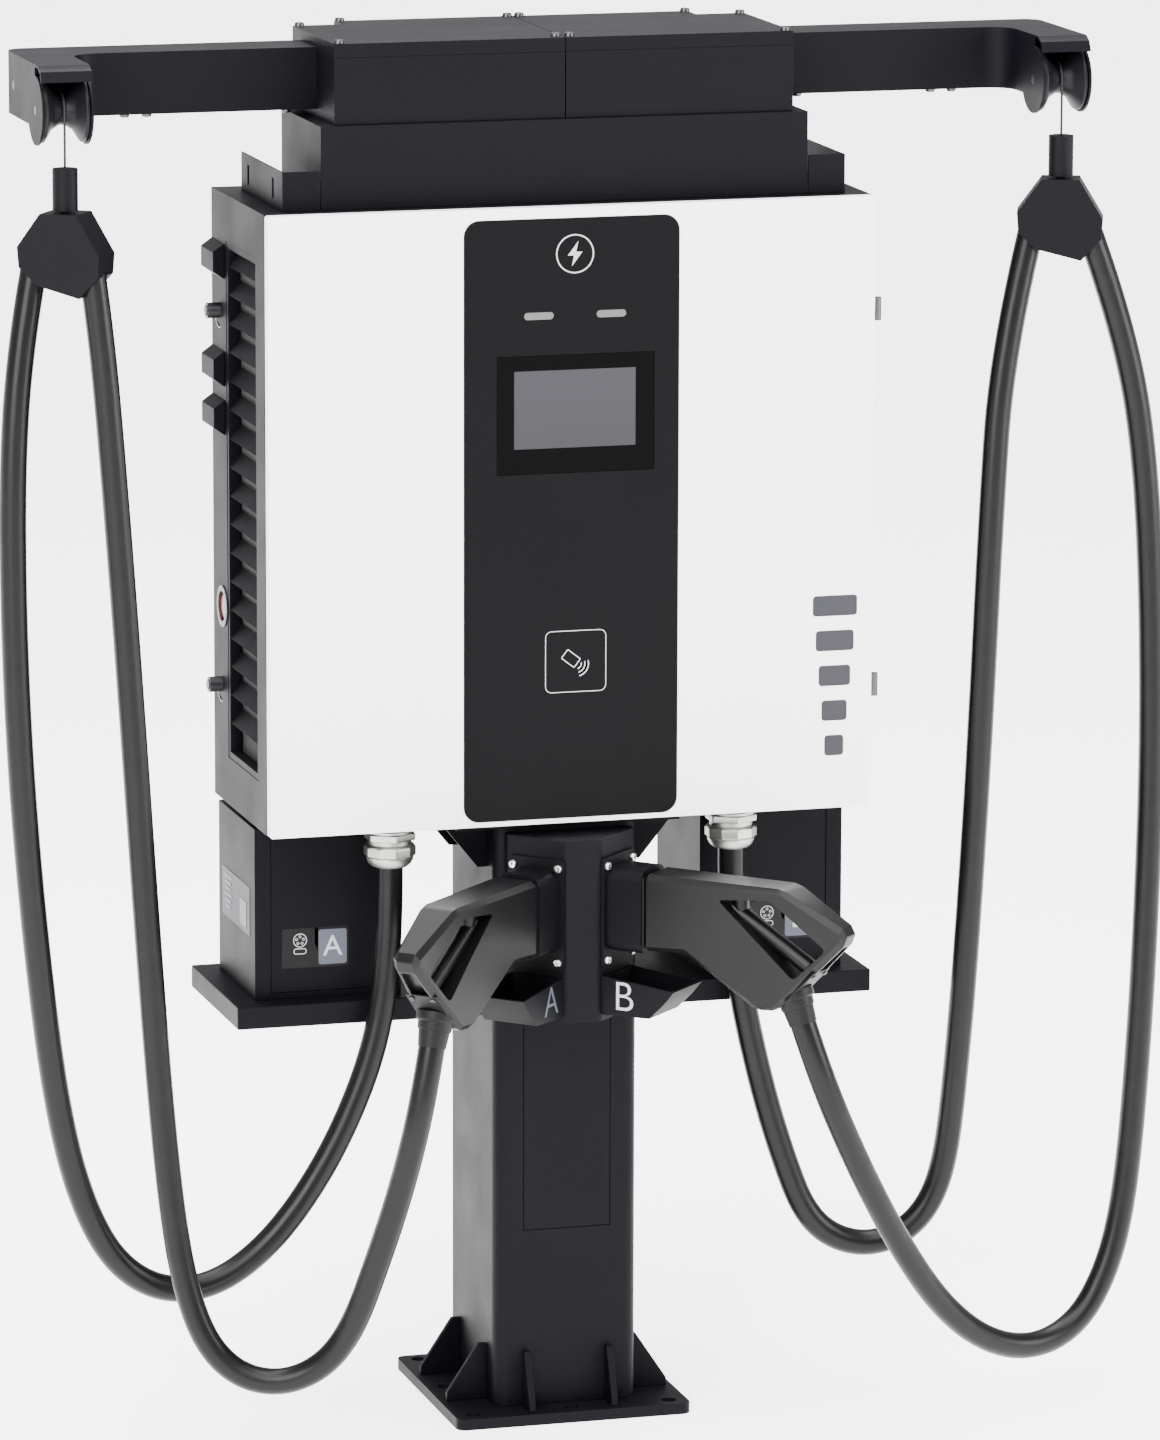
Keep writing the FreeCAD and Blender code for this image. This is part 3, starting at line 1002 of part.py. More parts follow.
def build_cables():
    radius = number("cable_radius")
    for name, points in CABLE_ROUTES.items():
        wire = cable_wire(name, points)
        first = Vector(*points[0])
        direction = Vector(*points[1]) - first
        ring = Part.Wire(Part.Circle(first, direction, radius).toShape())
        solid = DOCUMENT.addObject("Part::Feature", f"{name}_solid")
        solid.Shape = wire.makePipeShell([ring], True, True)
        print(name, "volume over section x length",
              round(solid.Shape.Volume / (math.pi * radius ** 2 * wire.Length), 4))
        keep(name, solid, (0, 0, 0), Rotation())


def build_glands():
    """A dome nut, a waist and a collar under the cabinet, on a thread through its floor."""
    glands, dome = [], "gland_tip + gland_nut_height"
    for side, sign in (("left", -1), ("right", 1)):
        x, y = f"{sign} * gland_x", "gland_y"
        tip = DOCUMENT.addObject("Part::Cone", f"gland_tip_{side}")
        bind(tip, Radius1="gland_nut - 7", Radius2="gland_nut", Height="gland_tip")
        place(tip, (x, y, "gland_low"))
        nut = rod(f"gland_nut_{side}", (x, y, "gland_low + gland_tip"), "z", "gland_nut",
                  "gland_nut_height")
        waist = rod(f"gland_waist_{side}", (x, y, f"gland_low + {dome}"), "z", "gland_nut - 3",
                    "gland_waist")
        collar = rod(f"gland_collar_{side}", (x, y, f"gland_low + {dome} + gland_waist"), "z",
                     "gland_nut - 0.5", f"gland_drop - ({dome} + gland_waist)")
        thread = rod(f"gland_thread_{side}", (x, y, "cabinet_low"), "z", "gland_neck",
                     "shell_wall + 10")
        glands.append(fuse(f"gland_{side}", tip, nut, waist, collar, thread))
    keep("cable_glands", group("gland_group", glands))


def cable_bore(name, cable):
    """The socket around a cable's upper end, just clear of it all round."""
    last, end = (Vector(*point) for point in CABLE_ROUTES[cable][-2:])
    ahead = (end - last).normalize()
    bore = DOCUMENT.addObject("Part::Cylinder", name)
    bind(bore, Radius="cable_radius + cable_gap", Height="clamp_wide + clamp_thick")
    bore.Placement = Placement(end + ahead * number("cable_gap"), Rotation(Vector(0, 0, 1), -ahead))
    return bore


def build_clamps():
    """A split block that grips the cable's arch, hung from its rope by a ferrule."""
    for side, sign in (("left", -1), ("right", 1)):
        corners = [("-clamp_narrow", "clamp_high"), ("-clamp_wide", "clamp_high - 40"),
                   ("-clamp_wide + 2", "clamp_high - 64"), ("-clamp_wide + 22", "clamp_high - 84"),
                   ("clamp_wide - 26", "clamp_high - 98"), ("clamp_wide - 2", "clamp_high - 72"),
                   ("clamp_wide", "clamp_high - 48"), ("clamp_narrow", "clamp_high")]
        block = prism(f"clamp_block_{side}", "XZ_Plane", corners, "clamp_thick", both_ways=True)
        center = (f"{sign} * (arm_out - arm_width / 2)", "clamp_y", 0)
        place(block, center, Rotation(Vector(0, 0, 1), number(f"clamp_turn_{side}")))
        here = (center[0], center[1])
        neck = rod(f"clamp_neck_{side}", (*here, "clamp_high - 4"), "z", "clamp_neck",
                   "ferrule_low - clamp_high + 6")
        ferrule = rod(f"ferrule_{side}", (*here, "ferrule_low"), "z", "ferrule_radius",
                      "ferrule_high - ferrule_low")
        bores = [cable_bore(f"clamp_bore_{end}_{side}", f"cable_{end}_{side}")
                 for end in ("back", "front")]
        bored = cut(f"clamp_bored_{side}", block, *bores)
        keep(f"clamp_{side}", fuse(f"clamp_joined_{side}", bored, neck, ferrule))


# ---------------------------------------------------------------- holster and guns
# These are drawn with U running outwards from the holster's slanted face along X.

SIDES = (("left", -1, -135), ("right", 1, -45))
SCOOP = (("-2", "563"), ("-2", "515"), ("65", "517"), ("86", "538"), ("98", "553"))
SCOOP_ROOM = (("4", "575"), ("4", "520"), ("62", "521.5"), ("83", "542"), ("93.5", "553.5"),
              ("105", "575"))
GUN_OUTLINE = (("collar_out + nose_gap", "692"), ("237", "692"), ("318", "648"), ("318", "633"),
               ("231", "543"), ("203", "542"), ("107", "600"), ("collar_out + nose_gap", "597"))
GUN_WINDOW = (("151", "671"), ("221", "677"), ("294", "623"), ("253", "583"))
GUN_PLAN = (("40", "-gun_half"), ("40", "gun_half"), ("215", "gun_half"),
            ("325", "gun_half - gun_taper"), ("325", "-gun_half + gun_taper"), ("215", "-gun_half"))


def to_side(thing, sign, angle):
    """Stand a thing drawn along X on the holster's slanted face of one side."""
    return place(thing, (f"{sign} * face_x", "face_y", 0), Rotation(Vector(0, 0, 1), angle))


def holster_plan(name, inset, low, high, back):
    """An upright prism on the holster's plan, shrunk by an inset, with its nose rounded."""
    half, flank = f"holster_half - {inset}", f"holster_side + {inset} / 3"
    nose = f"holster_nose + {inset}"
    corners = [(f"-({half})", back), (f"-({half})", flank), ("-holster_column", nose),
               ("holster_column", nose), (half, flank), (half, back)]
    body = prism(name, "XY_Plane", corners, f"{high} - ({low})")
    place(body, (0, 0, low))
    upright, front = along("z"), number(nose)
    return round_edges(body, "holster_round",
                       lambda edge: upright(edge) and abs(edge.CenterOfMass.y - front) < 0.01)


def build_holster():
    """The hollow column that carries both holders, with a scoop below each one."""
    wall, back = "holster_wall", "-post_depth / 2"
    outer = holster_plan("holster_block", "0", "holster_low", "holster_high", back)
    inner = holster_plan("holster_room", "holster_wall * 1.4", f"holster_low + {wall}",
                         f"holster_high - {wall}", f"{back} + 1")
    pieces = [cut("holster_hollow", outer, inner)]
    for side, sign, angle in SIDES:
        tray = prism(f"scoop_{side}", "XZ_Plane", SCOOP, "2 * scoop_half", both_ways=True)
        room = prism(f"scoop_room_{side}", "XZ_Plane", SCOOP_ROOM, "2 * (scoop_half - scoop_wall)",
                     both_ways=True)
        pieces.append(cut(f"scoop_cut_{side}", to_side(tray, sign, angle), to_side(room, sign, angle)))
    keep("holster_body", fuse("holster_joined", *pieces))


def upright_plate(name, half, low, high, corner, length):
    """A plate across X with rounded corners, drawn for to_side."""
    corners = [(f"-({half})", low), (half, low), (half, high), (f"-({half})", high)]
    return round_edges(prism(name, "YZ_Plane", corners, length), corner, along("x"))


def beside(sign, turn, out, across):
    """The X and Y of a point given outwards and across from the holster's slanted face."""
    ahead, aside = turn.multVec(Vector(1, 0, 0)), turn.multVec(Vector(0, 1, 0))
    return (f"{sign} * face_x + {aside.x:.6f} * {across} + {ahead.x:.6f} * {out}",
            f"face_y + {aside.y:.6f} * {across} + {ahead.y:.6f} * {out}")


def holder_screws(side, sign, turn):
    """The holder's four screws and the holes they go through."""
    tilt, solids, holes = turn.multiply(Rotation(Vector(0, 1, 0), 90)), [], []

    def pin(name, radius, length, out, across, level):
        solid = DOCUMENT.addObject("Part::Cylinder", name)
        bind(solid, Radius=radius, Height=length)
        return place(solid, (*beside(sign, turn, out, across), f"holder_bolt_{level}"), tilt)
    for across in (-1, 1):
        for level in ("low", "high"):
            name, shift = f"holder_screw_{side}_{across + 1}_{level}", f"{across} * holder_bolt_w"
            head = pin(f"{name}_head", "bolt_head - 1", "bolt_height", "plate_thick", shift, level)
            shank = pin(f"{name}_shank", "bolt_shank", "plate_thick", "0", shift, level)
            holes.append(pin(f"{name}_hole", "bolt_shank + hole_gap", "plate_thick + 2", "(-1)",
                             shift, level))
            solids.append(fuse(name, head, shank))
    return solids, holes


def build_plug_holders():
    """A flanged socket on each slanted face that the gun's nose goes into."""
    holders, screws_all = [], []
    for side, sign, angle in SIDES:
        turn = Rotation(Vector(0, 0, 1), angle)
        plate = upright_plate(f"holder_plate_{side}", "plate_half", "plate_low", "plate_high",
                              "plate_corner", "plate_thick")
        collar = upright_plate(f"holder_collar_{side}", "collar_half", "collar_low", "collar_high",
                               "collar_round", "collar_out")
        socket = upright_plate(f"holder_socket_{side}", "nose_half + nose_gap", "nose_low - nose_gap",
                               "nose_high + nose_gap", "nose_round + nose_gap", "collar_out")
        place(socket, (*beside(sign, turn, "(nose_back - nose_gap)", "0"), 0), turn)
        solids, holes = holder_screws(side, sign, turn)
        screws_all += solids
        joined = fuse(f"holder_joined_{side}", to_side(plate, sign, angle), to_side(collar, sign, angle))
        holders.append(cut(f"holder_{side}", joined, socket, *holes))
    keep("plug_holders", group("holder_group", holders))
    keep("holder_screws", group("holder_screw_group", screws_all))


GRIP_START, GRIP_RUN, GRIP_LENGTH = ("156", 0, "661"), Vector(105, 0, -66), "128"
CONTACTS = (("-12", "667", "4"), ("12", "667", "4"), ("-7", "656", "3"), ("7", "656", "3"),
            ("0", "668", "4"), ("-12", "622", "6"), ("12", "622", "6"))


def build_guns():
    for side, sign, angle in SIDES:
        profile = prism(f"gun_profile_{side}", "XZ_Plane", GUN_OUTLINE, "2 * gun_half", both_ways=True)
        window = prism(f"gun_window_{side}", "XZ_Plane", GUN_WINDOW, "2 * gun_half + 4", both_ways=True)
        plan = prism(f"gun_plan_{side}", "XY_Plane", GUN_PLAN, "200")
        place(plan, (0, 0, "520"))
        shell = common(f"gun_solid_{side}", cut(f"gun_open_{side}", profile, window), plan)
        grip = DOCUMENT.addObject("Part::Cylinder", f"gun_grip_{side}")
        bind(grip, Radius="grip_radius", Height=GRIP_LENGTH)
        place(grip, GRIP_START, Rotation(Vector(0, 0, 1), GRIP_RUN))
        keep(f"gun_shell_{side}", to_side(fuse(f"gun_joined_{side}", shell, grip), sign, angle))

        insert = upright_plate(f"gun_insert_block_{side}", "nose_half", "nose_low", "nose_high",
                               "nose_round", "collar_out - nose_back")
        place(insert, ("nose_back + nose_gap", 0, 0))
        contacts = [rod(f"contact_{side}_{index}", ("nose_back", across, level), "x", radius, "24")
                    for index, (across, level, radius) in enumerate(CONTACTS)]
        keep(f"gun_insert_{side}", to_side(cut(f"gun_insert_cut_{side}", insert, *contacts), sign, angle))

        # the rear cap closes the lower end and meets the cable's end face
        start, second = (Vector(*point) for point in CABLE_ROUTES[f"cable_front_{side}"][:2])
        back = (start - second).normalize()
        nut = DOCUMENT.addObject("Part::Cylinder", f"gun_nut_{side}")
        bind(nut, Radius="cable_radius + cap_wall", Height="cap_length")
        nut.Placement = Placement(start + back * number("cable_gap"), Rotation(Vector(0, 0, 1), back))
        trim = prism(f"gun_cap_trim_{side}", "XZ_Plane", GUN_OUTLINE, "4 * gun_half", both_ways=True)
        keep(f"gun_cap_{side}", cut(f"gun_cap_cut_{side}", nut, to_side(trim, sign, angle)))


# ---------------------------------------------------------------- build, check and write

def main():
    build_base()
    build_gussets()
    build_post()
    build_shelf()
    build_junction_boxes()
    build_head_bracket()
    build_shell()
    build_side_covers()
    build_louvres()
    build_side_fittings()
    build_door()
    build_hinges()
    build_modules()
    build_fan()
    build_arms(build_top())
    build_pulleys()
    build_ropes()
    build_cables()
    build_glands()
    build_clamps()
    build_holster()
    build_plug_holders()
    build_guns()
    DOCUMENT.recompute()
    for thing in DOCUMENT.Objects:
        if {"Invalid", "Error"} & set(thing.State):
            raise RuntimeError(f"{thing.Name} failed: {thing.State}")
    for label, thing in SUB_PARTS.items():
        if thing.Shape.isNull() or not thing.Shape.isValid() or not thing.Shape.Solids:
            raise RuntimeError(f"{label} has no valid solid")
    os.makedirs("parts", exist_ok=True)
    for label, thing in SUB_PARTS.items():
        thing.Shape.exportStep(f"parts/{label}.step")
    print(len(SUB_PARTS), "sub-parts written")


main()
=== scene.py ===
"""The visible charging post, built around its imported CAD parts. Lengths are in metres."""

from __future__ import annotations

import json
import logging
import math
from dataclasses import dataclass
from enum import Enum
from typing import Callable, Iterable, Sequence

import bpy
from mathutils import Matrix, Vector

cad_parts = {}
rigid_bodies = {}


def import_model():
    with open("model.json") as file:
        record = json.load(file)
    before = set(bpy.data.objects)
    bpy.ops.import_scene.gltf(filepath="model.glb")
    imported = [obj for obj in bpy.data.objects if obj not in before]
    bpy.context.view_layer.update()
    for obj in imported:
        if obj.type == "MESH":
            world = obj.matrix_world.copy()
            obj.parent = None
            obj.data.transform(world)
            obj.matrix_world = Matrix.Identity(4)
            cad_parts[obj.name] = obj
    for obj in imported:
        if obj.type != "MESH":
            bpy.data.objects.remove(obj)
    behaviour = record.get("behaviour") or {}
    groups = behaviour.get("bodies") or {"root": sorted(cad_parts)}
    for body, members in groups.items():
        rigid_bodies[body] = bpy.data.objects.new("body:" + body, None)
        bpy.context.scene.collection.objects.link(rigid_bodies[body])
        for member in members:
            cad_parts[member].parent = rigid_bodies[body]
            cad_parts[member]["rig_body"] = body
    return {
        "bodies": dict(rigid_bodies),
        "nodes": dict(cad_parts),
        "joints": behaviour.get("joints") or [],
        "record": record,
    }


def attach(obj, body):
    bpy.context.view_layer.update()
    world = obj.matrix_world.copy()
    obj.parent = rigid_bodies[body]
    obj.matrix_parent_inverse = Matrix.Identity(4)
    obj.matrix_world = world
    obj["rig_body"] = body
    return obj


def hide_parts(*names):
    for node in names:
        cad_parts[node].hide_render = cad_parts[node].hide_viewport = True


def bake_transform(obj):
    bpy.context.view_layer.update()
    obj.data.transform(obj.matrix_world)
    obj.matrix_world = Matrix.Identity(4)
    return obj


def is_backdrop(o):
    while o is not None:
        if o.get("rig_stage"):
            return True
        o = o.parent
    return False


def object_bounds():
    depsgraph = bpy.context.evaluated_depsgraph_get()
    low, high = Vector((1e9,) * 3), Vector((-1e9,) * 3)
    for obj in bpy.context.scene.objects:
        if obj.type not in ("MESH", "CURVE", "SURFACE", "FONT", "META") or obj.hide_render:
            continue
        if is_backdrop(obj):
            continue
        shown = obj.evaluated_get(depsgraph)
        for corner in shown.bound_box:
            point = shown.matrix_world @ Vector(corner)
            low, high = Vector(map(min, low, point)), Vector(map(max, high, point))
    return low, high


LOG = logging.getLogger("charging_post")
Point = Sequence[float]


class Side(Enum):
    """The two mirrored sides of the post, seen from the front."""

    LEFT = -1
    RIGHT = 1

    @property
    def word(self) -> str:
        """The side's name as the CAD nodes write it."""
        return self.name.lower()


# ---------------------------------------------------------------- shaders


class Signal:
    """A shader value that sums can be written with."""

    def __init__(self, graph: "Graph", socket: bpy.types.NodeSocket) -> None:
        """Remember the socket and the graph that it belongs to."""
        self.graph = graph
        self.socket = socket

    def _sum(self, operation: str, first: object, second: object) -> "Signal":
        """Add a Math node on two values."""
        return self.graph.put("ShaderNodeMath", {"operation": operation}, first, second)

    def __add__(self, other: object) -> "Signal":
        """self + other."""
        return self._sum("ADD", self, other)

    def __sub__(self, other: object) -> "Signal":
        """self - other."""
        return self._sum("SUBTRACT", self, other)

    def __mul__(self, other: object) -> "Signal":
        """self * other."""
        return self._sum("MULTIPLY", self, other)

    def __truediv__(self, other: object) -> "Signal":
        """self / other."""
        return self._sum("DIVIDE", self, other)

    def __gt__(self, other: object) -> "Signal":
        """One where self is the larger, and zero elsewhere."""
        return self._sum("GREATER_THAN", self, other)


class Graph:
    """One material and its node tree."""

    def __init__(self, name: str) -> None:
        """Make an empty node material with its main shader."""
        self.material = bpy.data.materials.new(name)
        self.material.use_nodes = True
        self.tree = self.material.node_tree
        self.shader = self.tree.nodes["Principled BSDF"]

    def put(self, kind: str, settings: dict[str, object] | None = None, *values: object, out: int = 0,
            **named: object) -> Signal:
        """Add a node.

        Args:
            kind: the node's type.
            settings: attributes that are set before its sockets; "stops" fills a colour ramp.
            values: numbers or signals for the first sockets, None to leave one alone.
            out: which output to hand on.
            named: values for sockets by name, with underscores for spaces.

        Returns:
            The chosen output as a signal.
        """
        node = self.tree.nodes.new(kind)
        for key, value in (settings or {}).items():
            if key == "stops":
                for element, (at, level) in zip(node.color_ramp.elements, value):
                    element.position = at
                    element.color = (level, level, level, 1.0)
            else:
                setattr(node, key, value)
        sockets = dict(enumerate(values))
        sockets.update({key.replace("_", " "): value for key, value in named.items()})
        for key, value in sockets.items():
            if isinstance(value, Signal):
                self.tree.links.new(value.socket, node.inputs[key])
            elif value is not None:
                node.inputs[key].default_value = value
        return Signal(self, node.outputs[out])

    def place(self, scale: Point = (1, 1, 1), turn: Point = (0, 0, 0)) -> Signal:
        """The piece's own coordinates in metres, scaled and turned."""
        own = self.put("ShaderNodeTexCoord", out=3)
        return self.put("ShaderNodeMapping", None, own, None, tuple(turn), tuple(scale))

    def noise(self, size: float, detail: float = 2.0, at: Signal | None = None) -> Signal:
        """Noise with features of about the given size in metres."""
        return self.put("ShaderNodeTexNoise", None, at or self.place(), Scale=1 / size, Detail=detail)

    def blend(self, factor: object, first: Point, second: Point) -> Signal:
        """A colour between two colours."""
        node = self.tree.nodes.new("ShaderNodeMix")
        node.data_type = "RGBA"
        for socket, value in ((node.inputs[0], factor), (node.inputs[6], first), (node.inputs[7], second)):
            if isinstance(value, Signal):
                self.tree.links.new(value.socket, socket)
            else:
                socket.default_value = value if isinstance(value, float) else (*value, 1.0)
        return Signal(self, node.outputs[2])

    def axis(self, name: str) -> Signal:
        """One of the piece's own coordinates, X, Y or Z, in metres."""
        return self.put("ShaderNodeSeparateXYZ", None, self.place(), out="XYZ".index(name))

    def feed(self, socket: str, value: object) -> None:
        """Link or set a socket of the main shader."""
        target = self.shader.inputs[socket]
        if isinstance(value, Signal):
            self.tree.links.new(value.socket, target)
        else:
            target.default_value = value

    def bump(self, height: Signal, distance: float, under: Signal | None = None) -> Signal:
        """A normal raised by a height signal of 0 to 1, over another normal."""
        return self.put("ShaderNodeBump", None, Strength=1.0, Distance=distance, Height=height, Normal=under)


def tinted(colour: Point, factor: float) -> tuple[float, float, float]:
    """The colour made lighter or darker by a factor."""
    return tuple(min(1.0, channel * factor) for channel in colour)


@dataclass(frozen=True)
class Finish:
    """A plain moulded or painted surface: fine grain, a soft mottle and uneven gloss."""

    slot: str
    colour: tuple[float, float, float]
    roughness: float = 0.5
    metallic: float = 0.0
    coat: float = 0.0
    specular: float = 0.5
    grain: float = 0.0012
    depth: float = 0.00006
    mottle: float = 0.10
    gloss_spread: float = 0.10

    def make(self) -> bpy.types.Material:
        """Build the material."""
        graph = Graph(self.slot)
        graph.feed("Metallic", self.metallic)
        graph.feed("Coat Weight", self.coat)
        graph.shader.inputs["Coat Roughness"].default_value = 0.08
        graph.shader.inputs["Specular IOR Level"].default_value = self.specular
        cloud = graph.noise(0.09, 4.0)
        graph.feed("Base Color", self.tone(graph, cloud))
        graph.feed("Roughness", self.gloss(graph, cloud))
        graph.feed("Normal", self.relief(graph))
        return graph.material

    def tone(self, graph: Graph, cloud: Signal) -> Signal:
        """The base colour, lightly uneven."""
        speckle = graph.noise(self.grain * 1.7, 1.0)
        low, high = tinted(self.colour, 1 - self.mottle), tinted(self.colour, 1 + self.mottle)
        return graph.blend(cloud * 0.6 + speckle * 0.4, low, high)

    def gloss(self, graph: Graph, cloud: Signal) -> Signal:
        """The roughness, spread around its usual value."""
        return cloud * self.gloss_spread * 2 + (self.roughness - self.gloss_spread)

    def relief(self, graph: Graph) -> Signal:
        """The fine surface relief."""
        return graph.bump(graph.noise(self.grain, 2.0), self.depth)


@dataclass(frozen=True)
class PowderCoat(Finish):
    """Baked powder: pebbled grain over a long, low orange peel, with painted top light that makes faces that
    look up paler.
    """

    dust: float = 0.0

    def tone(self, graph: Graph, cloud: Signal) -> Signal:
        """Base colour, made paler on faces that look up: painted top light."""
        plain = super().tone(graph, cloud)
        if not self.dust:
            return plain
        # Painted top light: faces that look up are blended towards pale grey, as if lit from above.
        facing = graph.put("ShaderNodeSeparateXYZ", None, graph.put("ShaderNodeNewGeometry", out=1), out=2)
        top_light_mask = (facing > 0.7) * self.dust * (cloud * 0.5 + 0.75)
        return graph.blend(top_light_mask, plain, (0.5, 0.5, 0.53))

    def relief(self, graph: Graph) -> Signal:
        """Pebbles on orange peel."""
        peel = graph.bump(graph.noise(0.012, 1.0), 0.00016)
        cells = graph.put("ShaderNodeTexVoronoi", None, graph.place(), Scale=1 / self.grain)
        return graph.bump(cells, self.depth, peel)


@dataclass(frozen=True)
class TurnedMetal(Finish):
    """Plated metal with fine rings left by the lathe, around the vertical axis."""

    pitch: float = 0.0006

    def relief(self, graph: Graph) -> Signal:
        """Closely spaced rings, broken by noise."""
        rings = graph.put("ShaderNodeTexWave", {"bands_direction": "Z"}, graph.place(),
                          Scale=0.05 / self.pitch, Distortion=1.5, Detail=2.0)
        return graph.bump(rings, self.depth)


@dataclass(frozen=True)
class CableJacket(Finish):
    """Extruded jacket: satin, with faint drag marks and scuffs."""

    def gloss(self, graph: Graph, cloud: Signal) -> Signal:
        """Satin with rubbed patches."""
        scuff = graph.noise(0.02, 6.0, graph.place((1.0, 1.0, 0.25)))
        return cloud * 0.14 + scuff * 0.16 + (self.roughness - 0.15)

    def relief(self, graph: Graph) -> Signal:
        """Drag marks along the cable over a slight waviness."""
        wave = graph.bump(graph.noise(0.03, 1.0), 0.0006)
        return graph.bump(graph.noise(0.0018, 3.0, graph.place((1.0, 1.0, 0.12))), self.depth, wave)


@dataclass(frozen=True)
class TwistedWire(Finish):
    """Thin wire rope: strands that run round at a slant."""

    def relief(self, graph: Graph) -> Signal:
        """Slanted strands."""
        lay = graph.place(turn=(0.0, math.radians(35), 0.0))
        strands = graph.put("ShaderNodeTexWave", {"bands_direction": "Z"}, lay, Scale=90.0, Distortion=0.3)
        return graph.bump(strands, self.depth)


@dataclass(frozen=True)
class DisplayPanel(Finish):
    """A switched-off display: fine cells behind the cover, and a painted reflection that makes it paler
    towards the top.
    """

    low: float = 1.2
    high: float = 1.3

    def tone(self, graph: Graph, cloud: Signal) -> Signal:
        """Grey that fades paler upwards as a painted reflection, with a fine sparkle of cells."""
        # Painted reflection: the colour is blended from darker at the bottom to paler at the top.
        height = (graph.axis("Z") - self.low) / (self.high - self.low)
        cells = graph.noise(0.0022, 0.0)
        return graph.blend(height * 0.7 + cells * 0.3, tinted(self.colour, 0.86), tinted(self.colour, 1.14))


@dataclass(frozen=True)
class FilterMat(Finish):
    """A dark woven mat behind the air slots: painted shade that hides the inside."""

    def relief(self, graph: Graph) -> Signal:
        """A square weave."""
        warp = graph.put("ShaderNodeTexWave", {"bands_direction": "Z"}, graph.place(), Scale=60.0)
        weft = graph.put("ShaderNodeTexWave", {"bands_direction": "Y"}, graph.place(), Scale=60.0)
        return graph.bump(warp * weft, self.depth)


class Palette:
    """Every finish of the post, made once."""

    DARK = (0.0015, 0.0015, 0.0027)
    FINISHES: tuple[Finish, ...] = (
        # The dark powder gets painted top light: its upward faces are made paler.
        PowderCoat("powder_dark", DARK, 0.50, grain=0.0011, depth=0.00010, dust=0.004, specular=0.075),
        PowderCoat("powder_white", (0.88, 0.88, 0.89), 0.42, specular=0.3, grain=0.0016, depth=0.00005,
                   mottle=0.012),
        Finish("glass_black", (0.0026, 0.0026, 0.0030), 0.40, grain=0.004, depth=0.00001, gloss_spread=0.05,
               specular=0.05),
        Finish("bezel", (0.0010, 0.0010, 0.0012), 0.45, grain=0.001, depth=0.00003, specular=0.03),
        DisplayPanel("screen", (0.021, 0.020, 0.024), 0.38, specular=0.2, grain=0.002, depth=0.00001,
                     gloss_spread=0.03),
        Finish("lens", (0.085, 0.085, 0.085), 0.30, specular=0.3, grain=0.003, depth=0.00004),
        TurnedMetal("nickel", (0.40, 0.39, 0.37), 0.38, 1.0, depth=0.00003, mottle=0.08, gloss_spread=0.07),
        CableJacket("cable_rubber", (0.0022, 0.0022, 0.0025), 0.33, depth=0.00005, specular=0.17),
        TwistedWire("wire", (0.010, 0.010, 0.011), 0.45, 0.3, depth=0.0004, specular=0.3),
        Finish("gun_plastic", (0.0030, 0.0030, 0.0034), 0.32, grain=0.0008, depth=0.00004, mottle=0.08,
               specular=0.16),
        Finish("gun_dark", (0.0026, 0.0026, 0.0028), 0.46, grain=0.0008, depth=0.00006, specular=0.16),
        Finish("holder_plastic", (0.0018, 0.0018, 0.0027), 0.50, grain=0.0009, depth=0.00008, specular=0.08),
        TurnedMetal("steel_screw", (0.55, 0.55, 0.54), 0.27, 1.0, depth=0.00002, gloss_spread=0.08),
        Finish("stop_red", (0.30, 0.006, 0.006), 0.32, coat=0.2, grain=0.002, depth=0.00003),
        TurnedMetal("lock_metal", (0.075, 0.075, 0.08), 0.34, 1.0, depth=0.00003),
        Finish("seal", (0.016, 0.016, 0.016), 0.85, grain=0.0007, depth=0.0002),
        Finish("zinc", (0.42, 0.43, 0.44), 0.38, 0.9, grain=0.006, depth=0.00003, mottle=0.18),
        Finish("module_case", (0.50, 0.50, 0.52), 0.42, 0.85, grain=0.003, depth=0.00003, mottle=0.08),
        Finish("electronics", (0.10, 0.11, 0.11), 0.55, grain=0.001, depth=0.00008),
        Finish("fan_plastic", (0.02, 0.02, 0.02), 0.45, grain=0.001, depth=0.00005),
        Finish("pulley_plastic", (0.0030, 0.0030, 0.0042), 0.45, grain=0.001, depth=0.00005, specular=0.14),
        # A dark mat behind the air slots: painted shade that hides the inside.
        FilterMat("filter", (0.012, 0.012, 0.013), 0.9, depth=0.0004),
        Finish("ink_pale", (0.34, 0.34, 0.36), 0.5, grain=0.0006, depth=0.00002, mottle=0.05),
        Finish("ink_grey", (0.022, 0.022, 0.027), 0.45, specular=0.2, grain=0.0006, depth=0.00002,
               mottle=0.05),
        Finish("plate_black", (0.0018, 0.0018, 0.002), 0.35, specular=0.15, grain=0.002, depth=0.00002),
        Finish("plate_grey", (0.058, 0.062, 0.080), 0.40, specular=0.25, grain=0.002, depth=0.00002),
        Finish("plate_dim", (0.019, 0.020, 0.026), 0.45, specular=0.15, grain=0.002, depth=0.00002),
        Finish("axle_dark", (0.012, 0.012, 0.014), 0.40, 0.6, grain=0.002, depth=0.00003),
        Finish("floor", (0.92, 0.92, 0.92), 0.9, grain=0.02, depth=0.0001, mottle=0.015),
    )
    RECORD_SLOTS = {"filter": "seal", "ink_pale": "lens", "ink_grey": "bezel", "plate_black": "bezel",
                    "plate_grey": "screen", "plate_dim": "screen", "axle_dark": "zinc"}

    def __init__(self) -> None:
        """Make all materials."""
        self.materials = {finish.slot: finish.make() for finish in self.FINISHES}

    def dress(self, thing: bpy.types.Object, slot: str) -> bpy.types.Object:
        """Give the object one finish and drop any other."""
        thing.data.materials.clear()
        thing.data.materials.append(self.materials[slot])
        return thing


# ---------------------------------------------------------------- modelling bench


